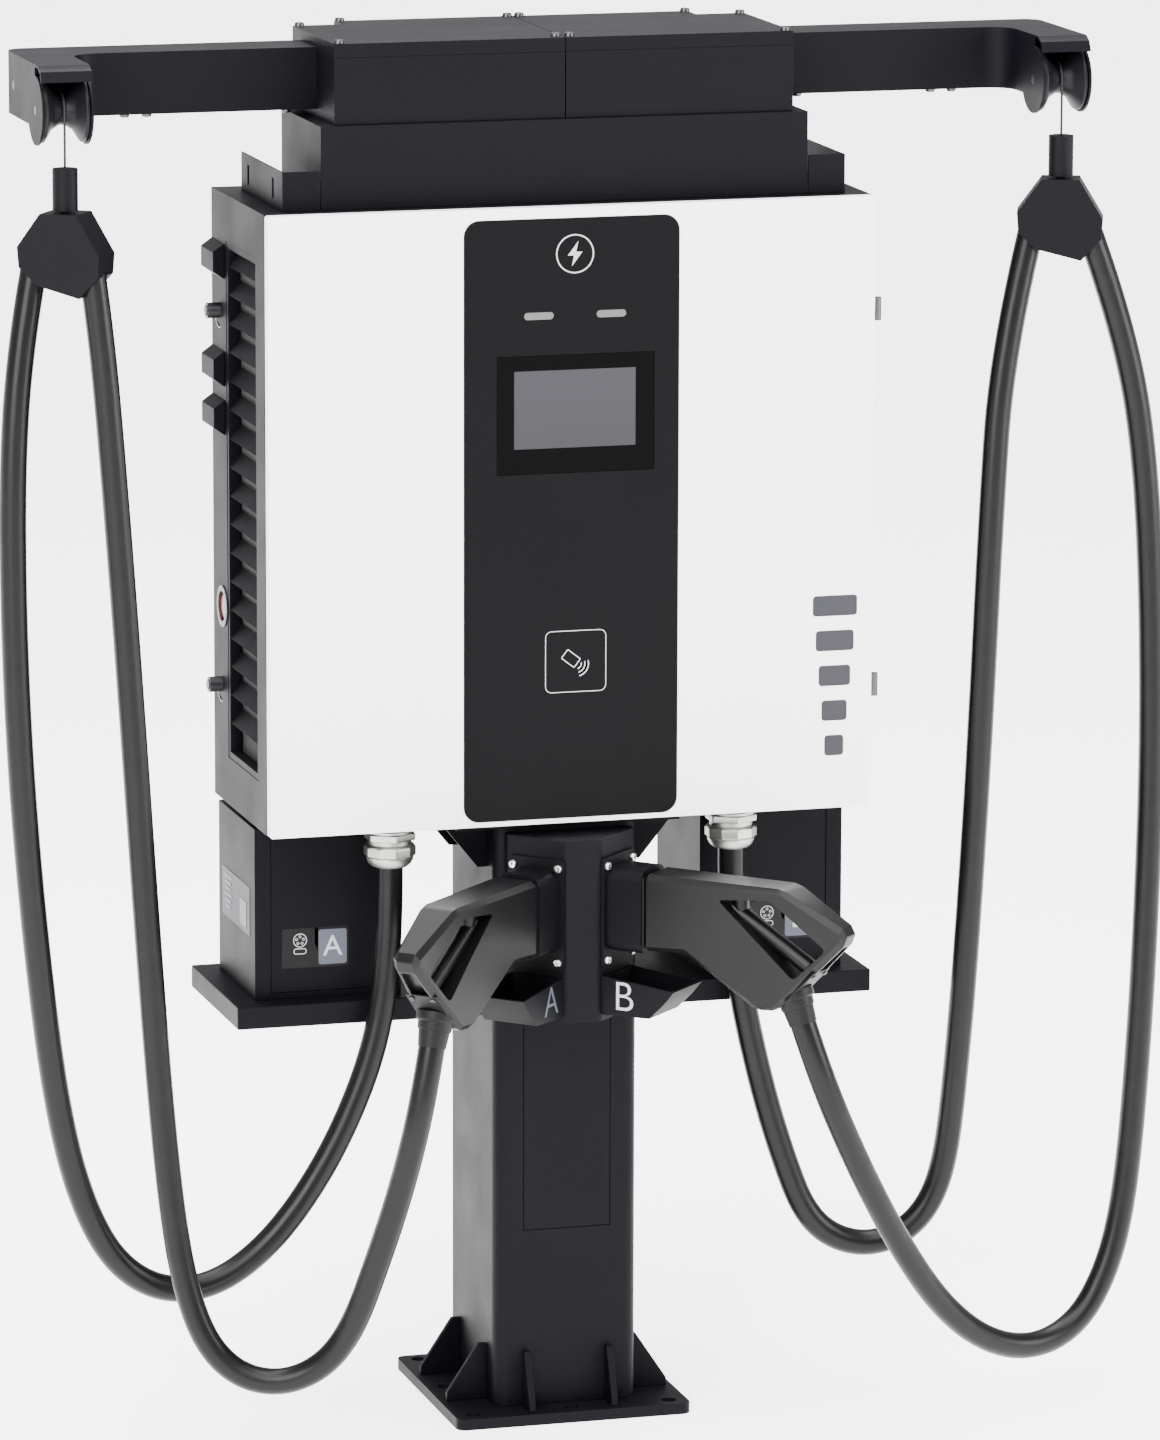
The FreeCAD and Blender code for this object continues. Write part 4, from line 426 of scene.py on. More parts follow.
class Bench:
    """The edit-mode work that the pieces share."""

    # Their flat faces surround so many cut-outs that merging them leaves stray triangles.
    UNMERGED = ("front_door", "louvre_panels")

    def __init__(self, palette: Palette, frame: dict) -> None:
        """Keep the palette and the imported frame."""
        self.palette = palette
        self.frame = frame
        self.slots = {part["node"]: part["material_slot"] for part in frame["record"]["subparts"]}

    @staticmethod
    def only(thing: bpy.types.Object) -> bpy.types.Object:
        """Make the object the only one selected, and active."""
        if bpy.context.object and bpy.context.object.mode != "OBJECT":
            bpy.ops.object.mode_set(mode="OBJECT")
        bpy.ops.object.select_all(action="DESELECT")
        thing.select_set(True)
        bpy.context.view_layer.objects.active = thing
        return thing

    def pick(self, thing: bpy.types.Object, kind: str, test: Callable[..., bool]) -> None:
        """Enter edit mode with just the chosen elements selected.

        Args:
            thing: the mesh object.
            kind: VERT, EDGE or FACE.
            test: says whether an element is chosen; it gets a point, a pair of points, or a face.
        """
        self.only(thing)
        mesh = thing.data
        for group in (mesh.vertices, mesh.edges, mesh.polygons):
            group.foreach_set("select", [False] * len(group))
        points = [vertex.co for vertex in mesh.vertices]
        if kind == "VERT":
            for vertex in mesh.vertices:
                vertex.select = test(vertex.co)
        elif kind == "EDGE":
            for edge in mesh.edges:
                edge.select = test(*(points[index] for index in edge.vertices))
        else:
            for face in mesh.polygons:
                face.select = test(face)
        bpy.ops.object.mode_set(mode="EDIT")
        bpy.ops.mesh.select_mode(type=kind)

    def start(self, add: Callable, **settings: object) -> bpy.types.Object:
        """Add a primitive with nothing else selected."""
        if bpy.context.object and bpy.context.object.mode != "OBJECT":
            bpy.ops.object.mode_set(mode="OBJECT")
        bpy.ops.object.select_all(action="DESELECT")
        add(**settings)
        return bpy.context.object

    def settle(self, thing: bpy.types.Object) -> None:
        """Leave edit mode and move the object's place into its mesh."""
        self.only(thing)
        bpy.ops.object.transform_apply(location=True, rotation=True, scale=True)

    def soften(self, thing: bpy.types.Object, width: float, segments: int = 2, angle: float = 32.0) -> None:
        """Round the sharp edges with an applied bevel."""
        self.only(thing)
        bevel = thing.modifiers.new("soft_edges", "BEVEL")
        bevel.width = width
        bevel.segments = segments
        bevel.limit_method = "ANGLE"
        bevel.angle_limit = math.radians(angle)
        bevel.use_clamp_overlap = True
        bpy.ops.object.modifier_apply(modifier=bevel.name)

    def carve(self, thing: bpy.types.Object, tool: bpy.types.Object, operation: str = "DIFFERENCE") -> None:
        """Apply one solid to another and throw the tool away."""
        self.only(thing)
        boolean = thing.modifiers.new("carve", "BOOLEAN")
        boolean.operation = operation
        boolean.object = tool
        boolean.solver = "EXACT"
        bpy.ops.object.modifier_apply(modifier=boolean.name)
        bpy.data.objects.remove(tool)

    def finish(self, thing: bpy.types.Object, name: str, slot: str, body: str | None,
               replaces: Iterable[str] = (), angle: float = 35.0) -> bpy.types.Object:
        """Close a piece: outward normals, smooth shading, finish, name and body.

        Args:
            thing: the modelled object.
            name: its piece name.
            slot: its finish.
            body: the CAD body that carries it, or None to leave it without one.
            replaces: CAD nodes that it stands for.
            angle: faces that meet at less than this many degrees are shaded smooth.

        Returns:
            The finished piece.
        """
        self.settle(thing)
        bpy.ops.object.mode_set(mode="EDIT")
        bpy.ops.mesh.select_all(action="SELECT")
        bpy.ops.mesh.normals_make_consistent(inside=False)
        bpy.ops.object.mode_set(mode="OBJECT")
        bpy.ops.object.shade_smooth_by_angle(angle=math.radians(angle))
        even = thing.modifiers.new("even_faces", "WEIGHTED_NORMAL")
        even.keep_sharp = True
        bpy.ops.object.modifier_apply(modifier=even.name)
        thing.name = name
        thing.data.name = name
        self.palette.dress(thing, slot)
        if body:
            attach(thing, body)
        for node in replaces:
            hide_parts(node)
        LOG.info("%s: %d faces", name, len(thing.data.polygons))
        return thing

    def copy_of(self, node: str) -> bpy.types.Object:
        """A merged, cleaned copy of a CAD node's mesh in a new object."""
        source = self.frame["nodes"][node]
        thing = bpy.data.objects.new(f"{node}_copy", source.data.copy())
        bpy.context.scene.collection.objects.link(thing)
        self.only(thing)
        bpy.ops.object.mode_set(mode="EDIT")
        bpy.ops.mesh.select_all(action="SELECT")
        bpy.ops.mesh.remove_doubles(threshold=2e-6)
        bpy.ops.mesh.customdata_custom_splitnormals_clear()
        if node not in self.UNMERGED:
            bpy.ops.mesh.dissolve_limited(angle_limit=math.radians(0.6))
        bpy.ops.object.mode_set(mode="OBJECT")
        return thing

    def softened(self, node: str, width: float, segments: int = 2, angle: float = 32.0) -> bpy.types.Object:
        """Replace a CAD node by its copy with softly broken edges."""
        thing = self.copy_of(node)
        body = self.frame["nodes"][node]["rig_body"]
        self.soften(thing, width, segments, angle)
        return self.finish(thing, f"{node}_skin", self.slots[node], body, [node])

    def box(self, low: Point, high: Point) -> bpy.types.Object:
        """A block between two corners."""
        middle = [(a + b) / 2 for a, b in zip(low, high)]
        thing = self.start(bpy.ops.mesh.primitive_cube_add, size=1.0, location=middle)
        thing.scale = [b - a for a, b in zip(low, high)]
        self.settle(thing)
        return thing

    def turned(self, steps: Sequence[tuple[float, float]], sides: int = 48,
               place: Matrix | None = None) -> bpy.types.Object:
        """A turned solid along +Z, modelled from a disc by extruding and scaling.

        Args:
            steps: pairs of height and radius, from the first end to the last.
            sides: how many sides the circle has.
            place: where the solid goes.

        Returns:
            The closed solid.
        """
        height, radius = steps[0]
        thing = self.start(bpy.ops.mesh.primitive_circle_add, vertices=sides, radius=radius,
                           fill_type="NGON", location=(0, 0, height))
        self.settle(thing)
        self.pick(thing, "FACE", lambda face: True)
        for rise, reach in steps[1:]:
            bpy.ops.mesh.extrude_region_move(TRANSFORM_OT_translate={"value": (0, 0, rise - height)})
            if abs(reach - radius) > 1e-9:
                factor = reach / radius
                bpy.ops.transform.resize(value=(factor, factor, 1), center_override=(0, 0, rise))
            height, radius = rise, reach
        bpy.ops.mesh.select_all(action="DESELECT")
        bpy.ops.object.mode_set(mode="OBJECT")
        self.pick(thing, "EDGE", lambda a, b: abs(a.z - steps[0][0]) < 1e-7 and abs(b.z - steps[0][0]) < 1e-7)
        bpy.ops.mesh.edge_face_add()
        bpy.ops.object.mode_set(mode="OBJECT")
        if place is not None:
            thing.matrix_world = place
            self.settle(thing)
        return thing

    def plate(self, outline: Sequence[tuple[float, float]], depth: float,
              place: Matrix | None = None) -> bpy.types.Object:
        """A flat outline in X and Y, extruded along +Z.

        Args:
            outline: its corners, anticlockwise.
            depth: how far it is extruded.
            place: where the solid goes.

        Returns:
            The closed solid.
        """
        thing = self.start(bpy.ops.mesh.primitive_circle_add, vertices=len(outline), radius=1.0,
                           fill_type="NGON")
        for vertex, (x, y) in zip(thing.data.vertices, self.in_order(outline)):
            vertex.co = (x, y, 0.0)
        self.pick(thing, "FACE", lambda face: True)
        bpy.ops.mesh.extrude_region_move(TRANSFORM_OT_translate={"value": (0, 0, depth)})
        bpy.ops.object.mode_set(mode="OBJECT")
        self.close_rim(thing, 0.0)
        if place is not None:
            thing.matrix_world = place
            self.settle(thing)
        return thing

    @staticmethod
    def in_order(outline: Sequence[tuple[float, float]]) -> list[tuple[float, float]]:
        """The corners in the order in which a circle primitive lists its own, anticlockwise."""
        area = sum(a[0] * b[1] - b[0] * a[1] for a, b in zip(outline, [*outline[1:], outline[0]]))
        return list(outline) if area > 0 else list(outline)[::-1]

    def close_rim(self, thing: bpy.types.Object, height: float) -> None:
        """Fill the open loop at a height."""
        self.pick(thing, "EDGE", lambda a, b: abs(a.z - height) < 1e-7 and abs(b.z - height) < 1e-7)
        bpy.ops.mesh.edge_face_add()
        bpy.ops.object.mode_set(mode="OBJECT")

    def join(self, things: Sequence[bpy.types.Object]) -> bpy.types.Object:
        """Join several objects into the first."""
        self.only(things[0])
        for thing in things:
            thing.select_set(True)
        bpy.ops.object.join()
        return things[0]

    def copies(self, thing: bpy.types.Object, places: Sequence[Matrix]) -> bpy.types.Object:
        """Stand a copy of the model at each place and join them; the model itself is used up."""
        made = []
        for place in places:
            twin = thing.copy()
            twin.data = thing.data.copy()
            bpy.context.scene.collection.objects.link(twin)
            twin.matrix_world = place
            made.append(twin)
        bpy.data.objects.remove(thing)
        for twin in made:
            self.settle(twin)
        return self.join(made)


# ---------------------------------------------------------------- cables and ropes


@dataclass(frozen=True)
class Strand:
    """One free cable or rope: its route and the bodies that hold its ends.

    The route's points are control points of a smooth spline, in metres.
    """

    node: str
    side: Side
    far_body: str
    near_body: str
    slot: str
    diameter: float
    lengths: tuple[float, float]
    lay: str
    route: tuple[tuple[float, float, float], ...]
    sides: int = 6
    still_from: tuple[float, float, float] | None = None

    def curve(self) -> bpy.types.Object:
        """The route as a smooth spline with no thickness."""
        data = bpy.data.curves.new(f"{self.node}_route", "CURVE")
        data.dimensions = "3D"
        data.resolution_u = 10
        spline = data.splines.new("NURBS")
        spline.points.add(len(self.route) - 1)
        for point, place in zip(spline.points, self.route):
            point.co = (*place, 1.0)
        spline.order_u = 3
        spline.use_endpoint_u = True
        thing = bpy.data.objects.new(data.name, data)
        bpy.context.scene.collection.objects.link(thing)
        return thing

    def line(self, thing: bpy.types.Object) -> list[Vector]:
        """The points that the spline runs through."""
        bpy.context.view_layer.update()
        mesh = bpy.data.meshes.new_from_object(thing)
        points = [vertex.co.copy() for vertex in mesh.vertices]
        bpy.data.meshes.remove(mesh)
        return points

    def tube(self, bench: Bench, thing: bpy.types.Object) -> bpy.types.Object:
        """Turn the route into a round tube."""
        thing.data.bevel_depth = self.diameter / 2
        thing.data.bevel_resolution = self.sides
        thing.data.use_fill_caps = True
        bench.only(thing)
        bpy.ops.object.convert(target="MESH")
        return bpy.context.object

    def build(self, bench: Bench) -> None:
        """Model the strand as two pieces that meet where it is still at every pose."""
        thing = self.curve()
        path = self.line(thing)
        split = min(range(len(path)), key=lambda index: path[index].z)
        whole = self.tube(bench, thing)
        if split in (0, len(path) - 1):
            self.close(bench, whole, f"{self.node}_strand", path, self.near_body, self.far_body,
                       sum(self.lengths))
            return
        twin = whole.copy()
        twin.data = whole.data.copy()
        bpy.context.scene.collection.objects.link(twin)
        for part, keep_low, word, line, body, length in (
                (whole, True, "near", path[:split + 1], self.near_body, self.lengths[0]),
                (twin, False, "far", path[split:], self.far_body, self.lengths[1])):
            self.trim(bench, part, path, split, keep_low)
            ends = line if keep_low else line[::-1]
            self.close(bench, part, f"{self.node}_{word}", line, body, "post", length, ends)

    def trim(self, bench: Bench, part: bpy.types.Object, path: list[Vector], split: int,
             keep_low: bool) -> None:
        """Delete the rings on one side of the split and close the open end."""
        def unwanted(place: Vector) -> bool:
            nearest = min(range(len(path)), key=lambda index: (path[index] - place).length_squared)
            return nearest > split if keep_low else nearest < split
        bench.pick(part, "VERT", unwanted)
        bpy.ops.mesh.delete(type="VERT")
        bpy.ops.mesh.select_mode(type="EDGE")
        bpy.ops.mesh.select_non_manifold()
        bpy.ops.mesh.edge_face_add()
        bpy.ops.object.mode_set(mode="OBJECT")

    def close(self, bench: Bench, part: bpy.types.Object, name: str, line: list[Vector], body: str,
              still: str, length: float, ends: list[Vector] | None = None) -> None:
        """Args:
            bench: the modelling bench.
            part: the tube.
            name: the piece's name.
            line: the points it follows.
            body: the body at its held end.
            still: the body at its other end.
            length: its real length; not used.
            ends: its line from the held end; not used.
        """
        moves = body != still
        bench.finish(part, name, self.slot, None if moves else "post", [self.node], 50.0)
        if moves:
            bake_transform(part)
        LOG.info("%s: %.4f m along its line", name, sum((b - a).length for a, b in zip(line, line[1:])))


CABLES: tuple[Strand, ...] = (
    Strand("cable_back_left", Side.LEFT, "clamp_left_body", "post", "cable_rubber", 0.032, (0.61, 1.33),
           "hanging", (
        (-0.2145, -0.080, 0.6917), (-0.2145, -0.080, 0.600), (-0.232, -0.089, 0.480), (-0.280, -0.100, 0.368),
        (-0.340, -0.109, 0.278), (-0.398, -0.115, 0.222), (-0.456, -0.120, 0.194), (-0.515, -0.124, 0.198),
        (-0.566, -0.127, 0.234), (-0.603, -0.130, 0.300), (-0.632, -0.132, 0.400), (-0.655, -0.134, 0.560),
        (-0.676, -0.134, 0.800), (-0.684, -0.130, 1.020), (-0.681, -0.122, 1.230), (-0.664, -0.110, 1.370),
        (-0.645, -0.098, 1.452))),
    Strand("cable_front_left", Side.LEFT, "clamp_left_body", "gun_left", "cable_rubber", 0.032,
           (0.505, 1.395),
           "hanging", (
        (-0.2263, -0.3273, 0.539), (-0.243, -0.344, 0.464), (-0.264, -0.324, 0.356), (-0.289, -0.302, 0.260),
        (-0.314, -0.284, 0.178), (-0.344, -0.268, 0.130), (-0.389, -0.251, 0.106), (-0.436, -0.235, 0.112),
        (-0.472, -0.220, 0.144), (-0.494, -0.207, 0.198), (-0.509, -0.194, 0.280), (-0.521, -0.180, 0.420),
        (-0.534, -0.168, 0.640), (-0.552, -0.156, 0.974), (-0.568, -0.149, 1.223), (-0.579, -0.144, 1.365),
        (-0.589, -0.1385, 1.447))),
    Strand("cable_back_right", Side.RIGHT, "clamp_right_body", "post", "cable_rubber", 0.032, (0.56, 1.31),
           "hanging", (
        (0.2145, -0.080, 0.6917), (0.2145, -0.080, 0.594), (0.232, -0.088, 0.482), (0.255, -0.095, 0.380),
        (0.280, -0.101, 0.297), (0.303, -0.106, 0.236), (0.335, -0.110, 0.202), (0.380, -0.114, 0.188),
        (0.424, -0.118, 0.199), (0.459, -0.121, 0.232), (0.479, -0.124, 0.288), (0.489, -0.127, 0.380),
        (0.501, -0.130, 0.540), (0.514, -0.134, 0.800), (0.525, -0.134, 1.085), (0.541, -0.122, 1.295),
        (0.583, -0.107, 1.446))),
    Strand("cable_front_right", Side.RIGHT, "clamp_right_body", "gun_right", "cable_rubber", 0.032,
           (0.61, 1.45),
           "hanging", (
        (0.2263, -0.3273, 0.539), (0.246, -0.347, 0.464), (0.302, -0.326, 0.345), (0.366, -0.293, 0.234),
        (0.430, -0.266, 0.145), (0.497, -0.244, 0.090), (0.565, -0.224, 0.072), (0.625, -0.208, 0.095),
        (0.664, -0.196, 0.150), (0.688, -0.188, 0.225), (0.704, -0.180, 0.345), (0.720, -0.170, 0.565),
        (0.730, -0.158, 0.861), (0.721, -0.146, 1.157), (0.688, -0.138, 1.330), (0.645, -0.129, 1.446))),
)


def wire_rope(side: Side) -> Strand:
    """The wire rope of one arm: up from its ferrule, over the pulley and back to the reel."""
    across = side.value * 0.61425
    return Strand(f"rope_{side.word}", side, "post", f"clamp_{side.word}_body", "wire", 0.003, (0.245, 0.0),
                  "taut", (
        (across, -0.118, 1.5545), (across, -0.118, 1.6015), (across, -0.118, 1.6405),
        (across, -0.079, 1.6425),
        (across, 0.000, 1.6520), (across, 0.039, 1.6560), (across, 0.039, 1.6370)), 3, (across, -0.118, 1.62))


# ---------------------------------------------------------------- charging guns


@dataclass
class Gun:
    """A charging gun in its holder. Its own frame runs outwards along X from the holster's slanted face."""

    bench: Bench
    side: Side
    half: float = 0.030
    chamfer: float = 0.0065
    window_round: float = 0.006
    outline: tuple[tuple[float, float], ...] = (
        (0.0505, 0.692), (0.237, 0.692), (0.318, 0.648), (0.318, 0.633), (0.231, 0.543), (0.203, 0.542),
        (0.107, 0.600), (0.0505, 0.597))
    window: tuple[tuple[float, float], ...] = ((0.151, 0.671), (0.221, 0.677), (0.294, 0.623), (0.253, 0.583))
    tapers: tuple[tuple[float, float, float], ...] = ((0.225, 0.250, 0.92), (0.300, 0.330, 0.57))

    @property
    def body(self) -> str:
        """The CAD body that carries the gun."""
        return f"gun_{self.side.word}"

    def place(self) -> Matrix:
        """From the gun's own frame to the post's."""
        angle = -135 if self.side is Side.LEFT else -45
        origin = Matrix.Translation((self.side.value * 0.0495, -0.1505, 0.0))
        return origin @ Matrix.Rotation(math.radians(angle), 4, "Z")

    def slab(self, outline: Sequence[tuple[float, float]], half: float) -> bpy.types.Object:
        """A side view extruded evenly to both sides, in the gun's own frame."""
        stand = Matrix.Translation((0, half, 0)) @ Matrix.Rotation(math.pi / 2, 4, "X")
        return self.bench.plate(outline, 2 * half, stand)

    def shell(self) -> bpy.types.Object:
        """The moulded shell: tapered, chamfered, with its hand window and hollow rear end."""
        bench = self.bench
        shell = self.slab(self.outline, self.half)
        for low, high, factor in self.tapers:
            bench.pick(shell, "VERT", lambda p: low < p.x < high)
            bpy.ops.transform.resize(value=(1, factor, 1), center_override=(0, 0, 0))
            bpy.ops.object.mode_set(mode="OBJECT")
        nose = self.outline[0][0] + 0.001
        bench.pick(shell, "EDGE", lambda a, b: a.y * b.y > 0 and not (a.x < nose and b.x < nose))
        bpy.ops.mesh.bevel(offset=self.chamfer, segments=1, affect="EDGES")
        bpy.ops.object.mode_set(mode="OBJECT")
        rear = Vector((0.719, 0.0, -0.695))
        bench.pick(shell, "FACE", lambda face: face.normal.dot(rear) > 0.97 and face.area > 0.001)
        bpy.ops.mesh.inset(thickness=0.0028, depth=0.0)
        bpy.ops.mesh.inset(thickness=0.0004, depth=-0.007)
        bpy.ops.object.mode_set(mode="OBJECT")
        opening = self.slab(self.window, 0.05)
        bench.pick(opening, "EDGE", lambda a, b: abs(a.y - b.y) > 0.05)
        bpy.ops.mesh.bevel(offset=self.window_round, segments=4, affect="EDGES")
        bpy.ops.object.mode_set(mode="OBJECT")
        bench.carve(shell, opening)
        for way in (-1, 1):
            bench.carve(shell, self.groove(way))
        bench.soften(shell, 0.0009, 2, 24.0)
        return shell

    def groove(self, way: int) -> bpy.types.Object:
        """A tool for the parting groove on one flank, beside the hand window."""
        start, end = Vector((0.110, 0.684)), Vector((0.243, 0.569))
        run = end - start
        normal = Vector((run.y, -run.x)).normalized() * 0.0005
        corners = [tuple(point) for point in (start - normal, end - normal, end + normal, start + normal)]
        tool = self.slab(corners, 0.004)
        tool.location = (0, way * (self.half + 0.0032), 0)
        self.bench.settle(tool)
        return tool

    def rod(self, steps: Sequence[tuple[float, float]], start: Point, end: Point) -> bpy.types.Object:
        """A turned solid in the gun's frame that points from one point to another."""
        run = Vector(end) - Vector(start)
        turn = run.to_track_quat("Z", "Y").to_matrix().to_4x4()
        return self.bench.turned(steps, 32, Matrix.Translation(start) @ turn)

    def build(self) -> None:
        """Model the gun's pieces and stand them in the holder."""
        bench, word = self.bench, self.side.word
        grip = self.rod(((0.0, 0.0090), (0.003, 0.0105), (0.122, 0.0105), (0.126, 0.0085)),
                        (0.157, 0, 0.6600), (0.262, 0, 0.5965))
        lever = self.rod(((0.0, 0.0085), (0.001, 0.0095), (0.020, 0.0095)), (0.170, 0, 0.6505),
                         (0.170, 0, 0.6730))
        nose = bench.copy_of(f"gun_insert_{word}")
        bench.soften(nose, 0.0008, 2)
        lip = self.slab(((0.0500, 0.602), (0.0530, 0.602), (0.0530, 0.687), (0.0500, 0.687)),
                        self.half - 0.0015)
        for part, name, slot, angle in ((self.shell(), "shell", "gun_plastic", 20.0),
                                        (grip, "grip", "gun_plastic", 40.0),
                                        (lever, "lever", "gun_plastic", 40.0),
                                        (lip, "lip", "gun_dark", 30.0)):
            part.matrix_world = self.place() @ part.matrix_world
            replaced = [f"gun_shell_{word}"] if name == "shell" else []
            bench.finish(part, f"gun_{word}_{name}", slot, self.body, replaced, angle)
        bench.finish(nose, f"gun_{word}_nose", "gun_dark", self.body, [f"gun_insert_{word}"])
        self.cap()

    def cap(self) -> None:
        """The rear cap: a screwed flange, a round collar and the tapered sleeve on the cable."""
        bench, word = self.bench, self.side.word
        route = next(cable.route for cable in CABLES if cable.node == f"cable_front_{word}")
        foot, below = Vector(route[0]), Vector(route[1])
        down = (below - foot).normalized()
        aim = (-down).to_track_quat("Z", "Y").to_matrix().to_4x4()
        collar = bench.turned(((-0.014, 0.0166), (-0.012, 0.0170), (0.006, 0.0188), (0.0065, 0.0198),
                               (0.009, 0.0205),
                               (0.016, 0.0210), (0.018, 0.0236), (0.021, 0.0242), (0.028, 0.0242),
                               (0.030, 0.020)),
                              40, Matrix.Translation(foot) @ aim)
        trim = self.slab(tuple(reversed(self.outline)), 0.1)
        trim.matrix_world = self.place()
        bench.settle(trim)
        bench.carve(collar, trim)
        bench.finish(collar, f"gun_{word}_collar", "gun_dark", self.body, [f"gun_cap_{word}"], 32.0)
        flange = self.slab(((0.2345, 0.5465), (0.2800, 0.5935), (0.2782, 0.5953), (0.2327, 0.5483)), 0.0215)
        self.bench.soften(flange, 0.0008, 2)
        screw = screw_head(bench, 0.0032, 0.0022, 0.0014)
        middle = Vector((0.2755, 0, 0.5885))
        outward = Vector((0.719, 0, -0.695)).to_track_quat("Z", "Y").to_matrix().to_4x4()
        screws = bench.copies(screw, [Matrix.Translation(middle + Vector((0, y,
                                                                          0))) @ outward for y in (-0.014,
                                                                                                   0.014)])
        for part, name, slot in ((flange, "flange", "gun_dark"), (screws, "screws", "lock_metal")):
            part.matrix_world = self.place() @ part.matrix_world
            bench.finish(part, f"gun_{word}_{name}", slot, self.body)


# ---------------------------------------------------------------- small hardware


def screw_head(bench: Bench, radius: float, height: float, socket: float) -> bpy.types.Object:
    """A cap screw's head standing at the origin along +Z, with a six-sided socket.

    Args:
        bench: the modelling bench.
        radius: the head's radius.
        height: the head's height.
        socket: the socket's radius.

    Returns:
        The head.
    """
    head = bench.turned(((0.0, radius), (height * 0.55, radius), (height * 0.88, radius * 0.88),
                         (height, radius * 0.66)), 20)
    tool = bench.turned(((height * 0.4, socket), (height * 1.5, socket)), 6)
    bench.carve(head, tool)
    return head


@dataclass
class Fasteners:
    """The screws of the lids, arms and holders, in place of their plain CAD solids."""

    bench: Bench
    lid_top: float = 1.6874
    arm_under: float = 1.601
    lid_spots: tuple[tuple[float, float], ...] = (
        (0.2753, -0.0825), (0.0085, -0.0765), (0.2763, 0.1055), (0.2173, 0.1417), (0.0075, 0.1427))
    arm_spots: tuple[tuple[float, float], ...] = ((0.515, 0.005), (0.488, 0.005), (0.318, 0.005))
    holder_across: float = 0.031
    holder_levels: tuple[float, float] = (0.582, 0.6975)

    def top(self) -> None:
        """Screws in the lids and under the arms."""
        flip = Matrix.Rotation(math.pi, 4, "X")
        places = []
        for side in Side:
            places += [Matrix.Translation((side.value * x, y, self.lid_top)) for x, y in self.lid_spots]
            places += [Matrix.Translation((side.value * x, y, self.arm_under)) @ flip for x,
                       y in self.arm_spots]
        heads = self.bench.copies(screw_head(self.bench, 0.006, 0.0045, 0.0026), places)
        self.bench.finish(heads, "top_screw_heads", "lock_metal", "post", ["top_screws"])

    def holders(self) -> None:
        """Bright screws at the corners of both gun holders."""
        places = []
        for side in Side:
            frame = Gun(self.bench, side).place()
            for across in (-self.holder_across, self.holder_across):
                for level in self.holder_levels:
                    spot = Matrix.Translation((0.004, across, level)) @ Matrix.Rotation(math.pi / 2, 4, "Y")
                    places.append(frame @ spot)
        heads = self.bench.copies(screw_head(self.bench, 0.0052, 0.0042, 0.0024), places)
        self.bench.finish(heads, "holder_screw_heads", "steel_screw", "post", ["holder_screws"])


@dataclass
class Glands:
    """Plated cable glands under the cabinet: dome nut, six-sided body and washer."""

    bench: Bench
    across: float = 0.2145
    depth: float = -0.080
    low: float = 0.692

    def build(self) -> None:
        """Model one gland and stand it on both sides."""
        bench = self.bench
        dome = bench.turned(((0.0, 0.0195), (0.0006, 0.0215), (0.004, 0.0255), (0.009, 0.0282),
                             (0.0125, 0.0290),
                             (0.0135, 0.0282), (0.0145, 0.0290), (0.0260, 0.0302), (0.0275, 0.0290),
                             (0.0285, 0.0262), (0.0335, 0.0262)), 48)
        nut = bench.turned(((0.0140, 0.0318), (0.0262, 0.0318)), 10)
        bench.soften(nut, 0.0016, 3)
        body = bench.turned(((0.0335, 0.0325), (0.0425, 0.0325)), 6)
        bench.soften(body, 0.0018, 3)
        washer = bench.turned(((0.0425, 0.0285), (0.0430, 0.0295), (0.0455, 0.0295), (0.0460, 0.0285),
                               (0.0461, 0.0262),
                               (0.0525, 0.0262)), 48)
        gland = bench.join([dome, nut, body, washer])
        places = [Matrix.Translation((side.value * self.across, self.depth, self.low)) for side in Side]
        both = bench.copies(gland, places)
        bench.finish(both, "gland_pair", "nickel", "post", ["cable_glands"], 30.0)


@dataclass
class SideFittings:
    """What sits on the cabinet's left side: the stop button, and the dark mats behind the air slots, painted
    shade that hides the inside.
    """

    bench: Bench
    stop_at: tuple[float, float, float] = (-0.3665, 0.104, 0.985)
    mat_x: tuple[float, float] = (0.3555, 0.3585)
    mat_y: tuple[float, float] = (-0.074, 0.077)
    mat_z: tuple[float, float] = (0.805, 1.433)

    def build(self) -> None:
        """Model the button and the mats."""
        bench = self.bench
        aim = Matrix.Translation(self.stop_at) @ Matrix.Rotation(-math.pi / 2, 4, "Y")
        button = bench.turned(((-0.022, 0.006), (0.0, 0.006), (0.0001, 0.0135), (0.0012, 0.0160),
                               (0.0030, 0.0170),
                               (0.0058, 0.0168), (0.0070, 0.0150), (0.0078, 0.0100), (0.0080, 0.0040)), 40,
                               aim)
        bench.finish(button, "stop_mushroom", "stop_red", "stop_button", ["estop_button"], 50.0)
        # Painted shade: a dark mat behind each side's air slots, so that the inside doesn't show.
        for side in Side:
            edges = sorted(side.value * x for x in self.mat_x)
            mat = bench.box((edges[0], self.mat_y[0], self.mat_z[0]),
                            (edges[1], self.mat_y[1], self.mat_z[1]))
            bench.soften(mat, 0.0006)
            bench.finish(mat, f"filter_mat_{side.word}", "filter", "post")


# ---------------------------------------------------------------- printed marks


